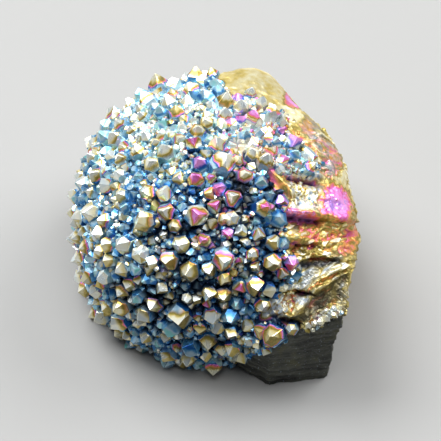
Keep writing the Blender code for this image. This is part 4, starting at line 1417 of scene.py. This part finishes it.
def newMaterial(name):
    material = bpy.data.materials.new(name)
    material.use_nodes = True
    return material, Wiring(material.node_tree)


def coating(w, aura, film, depth, mottle, size):
    group = w.node("ShaderNodeGroup", node_tree=aura)
    w.fill(group, {"Film": film, "Depth": depth, "Mottle": mottle, "Mottle Size": size})
    return group.outputs["Colour"], group.outputs["Grain"]


def finishSurface(w, sockets):
    w.fill(w.tree.nodes["Principled BSDF"], sockets)


# The look of the points. A drop of 1 is the rim where the tip meets the shank.
quartzLook = {
    "rimNoise": 520.0,
    "rimRagged": 0.7,
    "towardRim": (0.30, 0.80),
    "tipSpread": 0.08,
    "shankSpread": 0.22,
    "shankFilm": (0.05, 0.69),
    "palerShank": 0.14,
    "palestShank": 0.93,
    "shankRagged": 0.12,
    "shankBegins": (0.78, 1.12),
    "ringed": (0.56, 0.62),
    "thinUpTo": 0.62,
    # painted shade on tip faces turned down: their film, how it varies by facet, and how dark
    "shadedFacingFilm": 0.27,
    "shadedFacingFacets": (0.75, 0.25),
    "shadedFacingDepth": 0.26,
    # painted shade low between the points: heights where it begins and is full, its least and most
    "depth": (1.45, -0.1, 0.0, 0.96),
    "mottle": (0.045, 700.0),
    "pearlFilm": (0.24, 0.14),
    "pearlShare": 0.22,
    "warmFacets": (0.75, 0.05),
    "metallic": 0.66,
    "roughGrain": 0.22,
    "roughFacets": (0.18, 0.08),
    "lineScale": 9.0,
    "lineShift": (40.0, 30.0),
    "lineShare": (0.8, 0.2),
    "lineBump": (0.5, 0.00012),
    "grainNoise": (2600.0, 3.0),
    "grainBump": (0.25, 0.00005),
}


def quartzMaterial(aura):
    material, w = newMaterial("coatedQuartz")
    look = quartzLook
    drop, shank, facet, height, tone, paintedDownShade = (
        w.own(name) for name in ("drop", "shank", "facet", "height", "tone", "paintedDownShade"))
    # thin at the apex, thicker in narrow bands towards the rim, and blue from there down the shank
    ragged = w.scaled(w.less(w.noise(look["rimNoise"]), 0.5), look["rimRagged"], drop)
    tip = w.between(w.own("apexFilm"), w.own("rimFilm"), w.ease(ragged, *look["towardRim"]))
    tip = w.plus(tip, w.times(w.less(facet, 0.5), look["tipSpread"]))
    side = w.plus(w.times(facet, look["shankSpread"]), w.scaled(tone, *look["shankFilm"]))
    side = w.scaled(w.own("pale"), look["palerShank"], side)
    side = w.maths("MINIMUM", side, look["palestShank"])
    belowRim = w.ease(w.scaled(facet, look["shankRagged"], ragged), *look["shankBegins"])
    below = w.maths("MAXIMUM", shank, belowRim)
    # some points pass through every colour at the rim, others change there at once
    ringed = w.ease(tone, *look["ringed"])
    film = w.between(tip, side, w.times(below, ringed))
    # painted shade: tip faces turned down are darkened and given an olive film
    thin = w.maths("LESS_THAN", film, look["thinUpTo"])
    paintedDownShadeShare = w.times(w.times(paintedDownShade, w.less(1.0, below)), thin)
    paintedDownShadeShare = w.times(paintedDownShadeShare, w.scaled(facet, *look["shadedFacingFacets"]))
    film = w.between(film, look["shadedFacingFilm"], paintedDownShadeShare)
    # painted shade: darker and bluer low between the points and on tip faces turned down
    paintedShade = w.maths("MAXIMUM", w.ease(height, *look["depth"]), w.times(paintedDownShade, look["shadedFacingDepth"]))
    tipColour, grain = coating(w, aura, film, paintedShade, *look["mottle"])
    sideColour, _ = coating(w, aura, side, paintedShade, *look["mottle"])
    least = w.less(look["pearlShare"], w.times(paintedShade, look["pearlShare"]))
    pearl = w.times(w.ease(film, *look["pearlFilm"]), least)
    tipColour = w.blend(pearl, tipColour, linearColour(tints["pearl"]))
    coated = w.blend(w.times(below, w.less(1.0, ringed)), tipColour, sideColour)
    warmth = w.times(w.times(w.own("warm"), below), w.scaled(facet, *look["warmFacets"]))
    # growth lines ring the shank
    byFacet, byTone = look["lineShift"]
    spot = w.node("ShaderNodeCombineXYZ", {
        "X": w.plus(drop, w.times(facet, byFacet)), "Y": w.times(tone, byTone)})
    lines = w.node("ShaderNodeTexNoise", {
        "Vector": spot.outputs[0], "Scale": look["lineScale"], "Detail": 2.0,
    }, noise_dimensions="2D")
    lined = w.times(lines.outputs["Fac"], w.scaled(shank, *look["lineShare"]))
    roughness = w.plus(w.times(grain, look["roughGrain"]), w.scaled(facet, *look["roughFacets"]))
    finishSurface(w, {
        "Base Color": w.blend(warmth, coated, linearColour(tints["warm"])),
        "Metallic": look["metallic"],
        "Roughness": roughness,
        "Normal": w.bump(w.noise(*look["grainNoise"]), *look["grainBump"],
                         w.bump(lined, *look["lineBump"])),
    })
    return material


# The look of the stone. Noises are size, detail and roughness.
stoneLook = {
    "grainFilm": (0.5, -0.6, -0.05, 0.05),
    "hollow": (-0.35, -1.5, 0.0, 0.9),
    "shadeUnderPoints": (0.0, 1.0, 0.0, 0.94),
    "filmUnderPoints": 0.55,
    "mottle": (0.04, 760.0),
    "frostNoise": (1100.0, 3.0, 0.6),
    "frost": (0.35, 0.65),
    "iceNoise": 900.0,
    "ice": (0.30, 0.60),
    "grainNoise": (1500.0, 4.0, 0.6),
    "coarseNoise": (260.0, 4.0, 0.6),
    "bandNoise": (420.0, 4.0, 0.6, (0.35, 0.35, 2.4)),
    "bandShares": (0.6, 0.4),
    "bands": (0.36, 0.62),
    "stains": (0.52, 0.66, 0.0, 0.6),
    "speckNoise": (3200.0, 1.0),
    "specks": (0.66, 0.74),
    "speckShare": 0.6,
    "rockRagged": 0.7,
    "rock": (0.35, 0.65),
    "metallic": (-0.36, 0.38),
    "roughness": (0.28, 0.18),
    "rockRoughness": 0.35,
    "coarseBumpNoise": (900.0, 4.0, 0.65),
    "coarseBump": (0.6, 0.00022),
    "fineBumpNoise": 3400.0,
    "fineBump": (0.4, 0.00006),
}


def stoneMaterial(aura):
    material, w = newMaterial("coatedStone")
    look = stoneLook
    rise, druse = w.own("rise"), w.own("druse")
    # raised grains have a thinner, paler film and hollows a thicker one; hollows, the shade patches
    # and the stone under the points get painted shade, darker and bluer
    film = w.plus(w.own("film"), w.ease(rise, *look["grainFilm"]))
    dark = w.maths("MAXIMUM", w.ease(rise, *look["hollow"]), w.own("shade"))
    depth = w.maths("MAXIMUM", dark, w.ease(druse, *look["shadeUnderPoints"]))
    film = w.scaled(druse, look["filmUnderPoints"], film)
    colour, _ = coating(w, aura, film, depth, *look["mottle"])
    frost = w.ease(w.noise(*look["frostNoise"]), *look["frost"])
    ice = w.blend(frost, linearColour(tints["ice"]), linearColour(tints["frost"]))
    icy = w.ease(w.noise(look["iceNoise"]), *look["ice"])
    share = w.times(w.maths("MULTIPLY", w.own("ice"), icy, clamp=True), w.less(1.0, dark))
    coated = w.blend(share, colour, ice)
    # the grey rock is banded, with olive stains and pale specks
    grain = w.noise(*look["grainNoise"])
    coarse = w.noise(*look["coarseNoise"])
    inBands, inCoarse = look["bandShares"]
    bands = w.scaled(w.noise(*look["bandNoise"]), inBands, w.times(coarse, inCoarse))
    grey = w.blend(w.ease(bands, *look["bands"]),
                   linearColour(tints["darkRock"]), linearColour(tints["paleRock"]))
    grey = w.blend(w.ease(coarse, *look["stains"]), grey, linearColour(tints["stain"]))
    speck = w.times(w.ease(w.noise(*look["speckNoise"]), *look["specks"]), look["speckShare"])
    grey = w.blend(speck, grey, linearColour(tints["speck"]))
    ragged = w.plus(w.own("rock"), w.times(w.less(grain, 0.5), look["rockRagged"]))
    rock = w.ease(ragged, *look["rock"])
    roughness = w.plus(w.scaled(grain, *look["roughness"]), w.times(rock, look["rockRoughness"]))
    coarseBump = w.bump(w.noise(*look["coarseBumpNoise"]), *look["coarseBump"])
    finishSurface(w, {
        "Base Color": w.blend(rock, coated, grey),
        "Metallic": w.scaled(rock, *look["metallic"]),
        "Roughness": roughness,
        "Normal": w.bump(w.noise(look["fineBumpNoise"]), *look["fineBump"], coarseBump),
    })
    return material


def floorMaterial():
    material, w = newMaterial("paleFloor")
    finishSurface(w, {
        "Base Color": w.blend(w.noise(3.0, 3.0), *studio["floorColours"]),
        "Roughness": w.scaled(w.noise(40.0), 0.1, 0.7),
    })
    return material


# Making

aura = auraGroup()
coatedQuartz = quartzMaterial(aura)
coatedStone = stoneMaterial(aura)
report("materials ready")

stoneData = makeStone()
stoneData.materials.append(coatedStone)
stonePiece = joined("matrixStone", stoneData)
report(f"stone: {len(stoneData.polygons)} faces")

tree = growTree()
sites = quartzSites()
report(f"{len(sites)} big points placed")
bigSet = shapeSet(quartz, [False] * quartz["shapes"] + [True] * quartz["shapes"])
smallSet = shapeSet(small, [False, True] * (small["shapes"] // 2))
sugarSet = shapeSet(sugar, [False, True] * (sugar["shapes"] // 2))
taken = [(root, width) for root, _, width, _ in sites]
bigPiece = grow("bigPoints", tree, bigSites(sites), bigSet, coatedQuartz, quartz)
smallPiece = grow("smallPoints", tree, smallSites(small, taken), smallSet, coatedQuartz, small)
seedPiece = grow("seedCrystals", tree, smallSites(seedlings, taken), smallSet, coatedQuartz,
                 seedlings)
sugarPiece = grow("sugarCrystals", tree, sugarSites(), sugarSet, coatedQuartz, sugar)
for shapes in (bigSet, smallSet, sugarSet):
    for shape in list(shapes.objects):
        bpy.data.objects.remove(shape)
    bpy.data.collections.remove(shapes)
report("faces of points: " + ", ".join(
    str(len(piece.data.polygons)) for piece in (bigPiece, smallPiece, seedPiece, sugarPiece)))

for piece, slotName in ((stonePiece, "coated_matrix"), (bigPiece, "coated_quartz"),
                        (smallPiece, "coated_quartz"), (seedPiece, "coated_quartz"),
                        (sugarPiece, "coated_quartz")):
    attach(piece, "root")
    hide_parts("aura_quartz_cluster")

# Studio

studio = {
    # of each lamp: place, size, watts
    "lamps": {
        "key": ((-0.32, 0.28, 0.62), 0.55, 7.4),
        "right": ((0.42, 0.20, 0.52), 0.45, 3.7),
        "top": ((0.02, -0.10, 0.80), 0.60, 3.8),
    },
    "skyColour": (0.85, 0.92, 1.0, 1.0),
    "skyStrength": 0.10,
    "floorReach": 4,
    "floorColours": ((0.31, 0.31, 0.305, 1), (0.34, 0.34, 0.335, 1)),
    "lens": 180,
    "sensor": 36,
    "clipStart": 0.01,
}

floorData = bpy.data.meshes.new("floor")
reach = studio["floorReach"]
floorCorners = [(-reach, -reach, 0), (reach, -reach, 0), (reach, reach, 0), (-reach, reach, 0)]
floorData.from_pydata(floorCorners, [], [(0, 1, 2, 3)])
floorData.materials.append(floorMaterial())
floorPiece = joined("floor", floorData)

target = Vector(sight["centre"])
for name, (place, size, watts) in studio["lamps"].items():
    lamp = bpy.data.lights.new(name, "AREA")
    lamp.shape = "DISK"
    lamp.size = size
    lamp.energy = watts
    made = joined(name, lamp)
    made.location = place
    made.rotation_euler = (Vector(place) - target).to_track_quat("Z", "Y").to_euler()

world = bpy.data.worlds.new("studio")
world.use_nodes = True
sky = world.node_tree.nodes["Background"]
sky.inputs["Color"].default_value = studio["skyColour"]
sky.inputs["Strength"].default_value = studio["skyStrength"]
bpy.context.scene.world = world
bpy.context.scene.view_settings.view_transform = "Standard"

lens = bpy.data.cameras.new("camera")
lens.lens = studio["lens"]
lens.sensor_width = studio["sensor"]
lens.clip_start = studio["clipStart"]
camera = joined("camera", lens)
camera.location = target + Vector(toward) * sight["distance"]
camera.rotation_euler = Vector(-toward).to_track_quat("-Z", "Y").to_euler()
bpy.context.scene.camera = camera
report("studio ready")
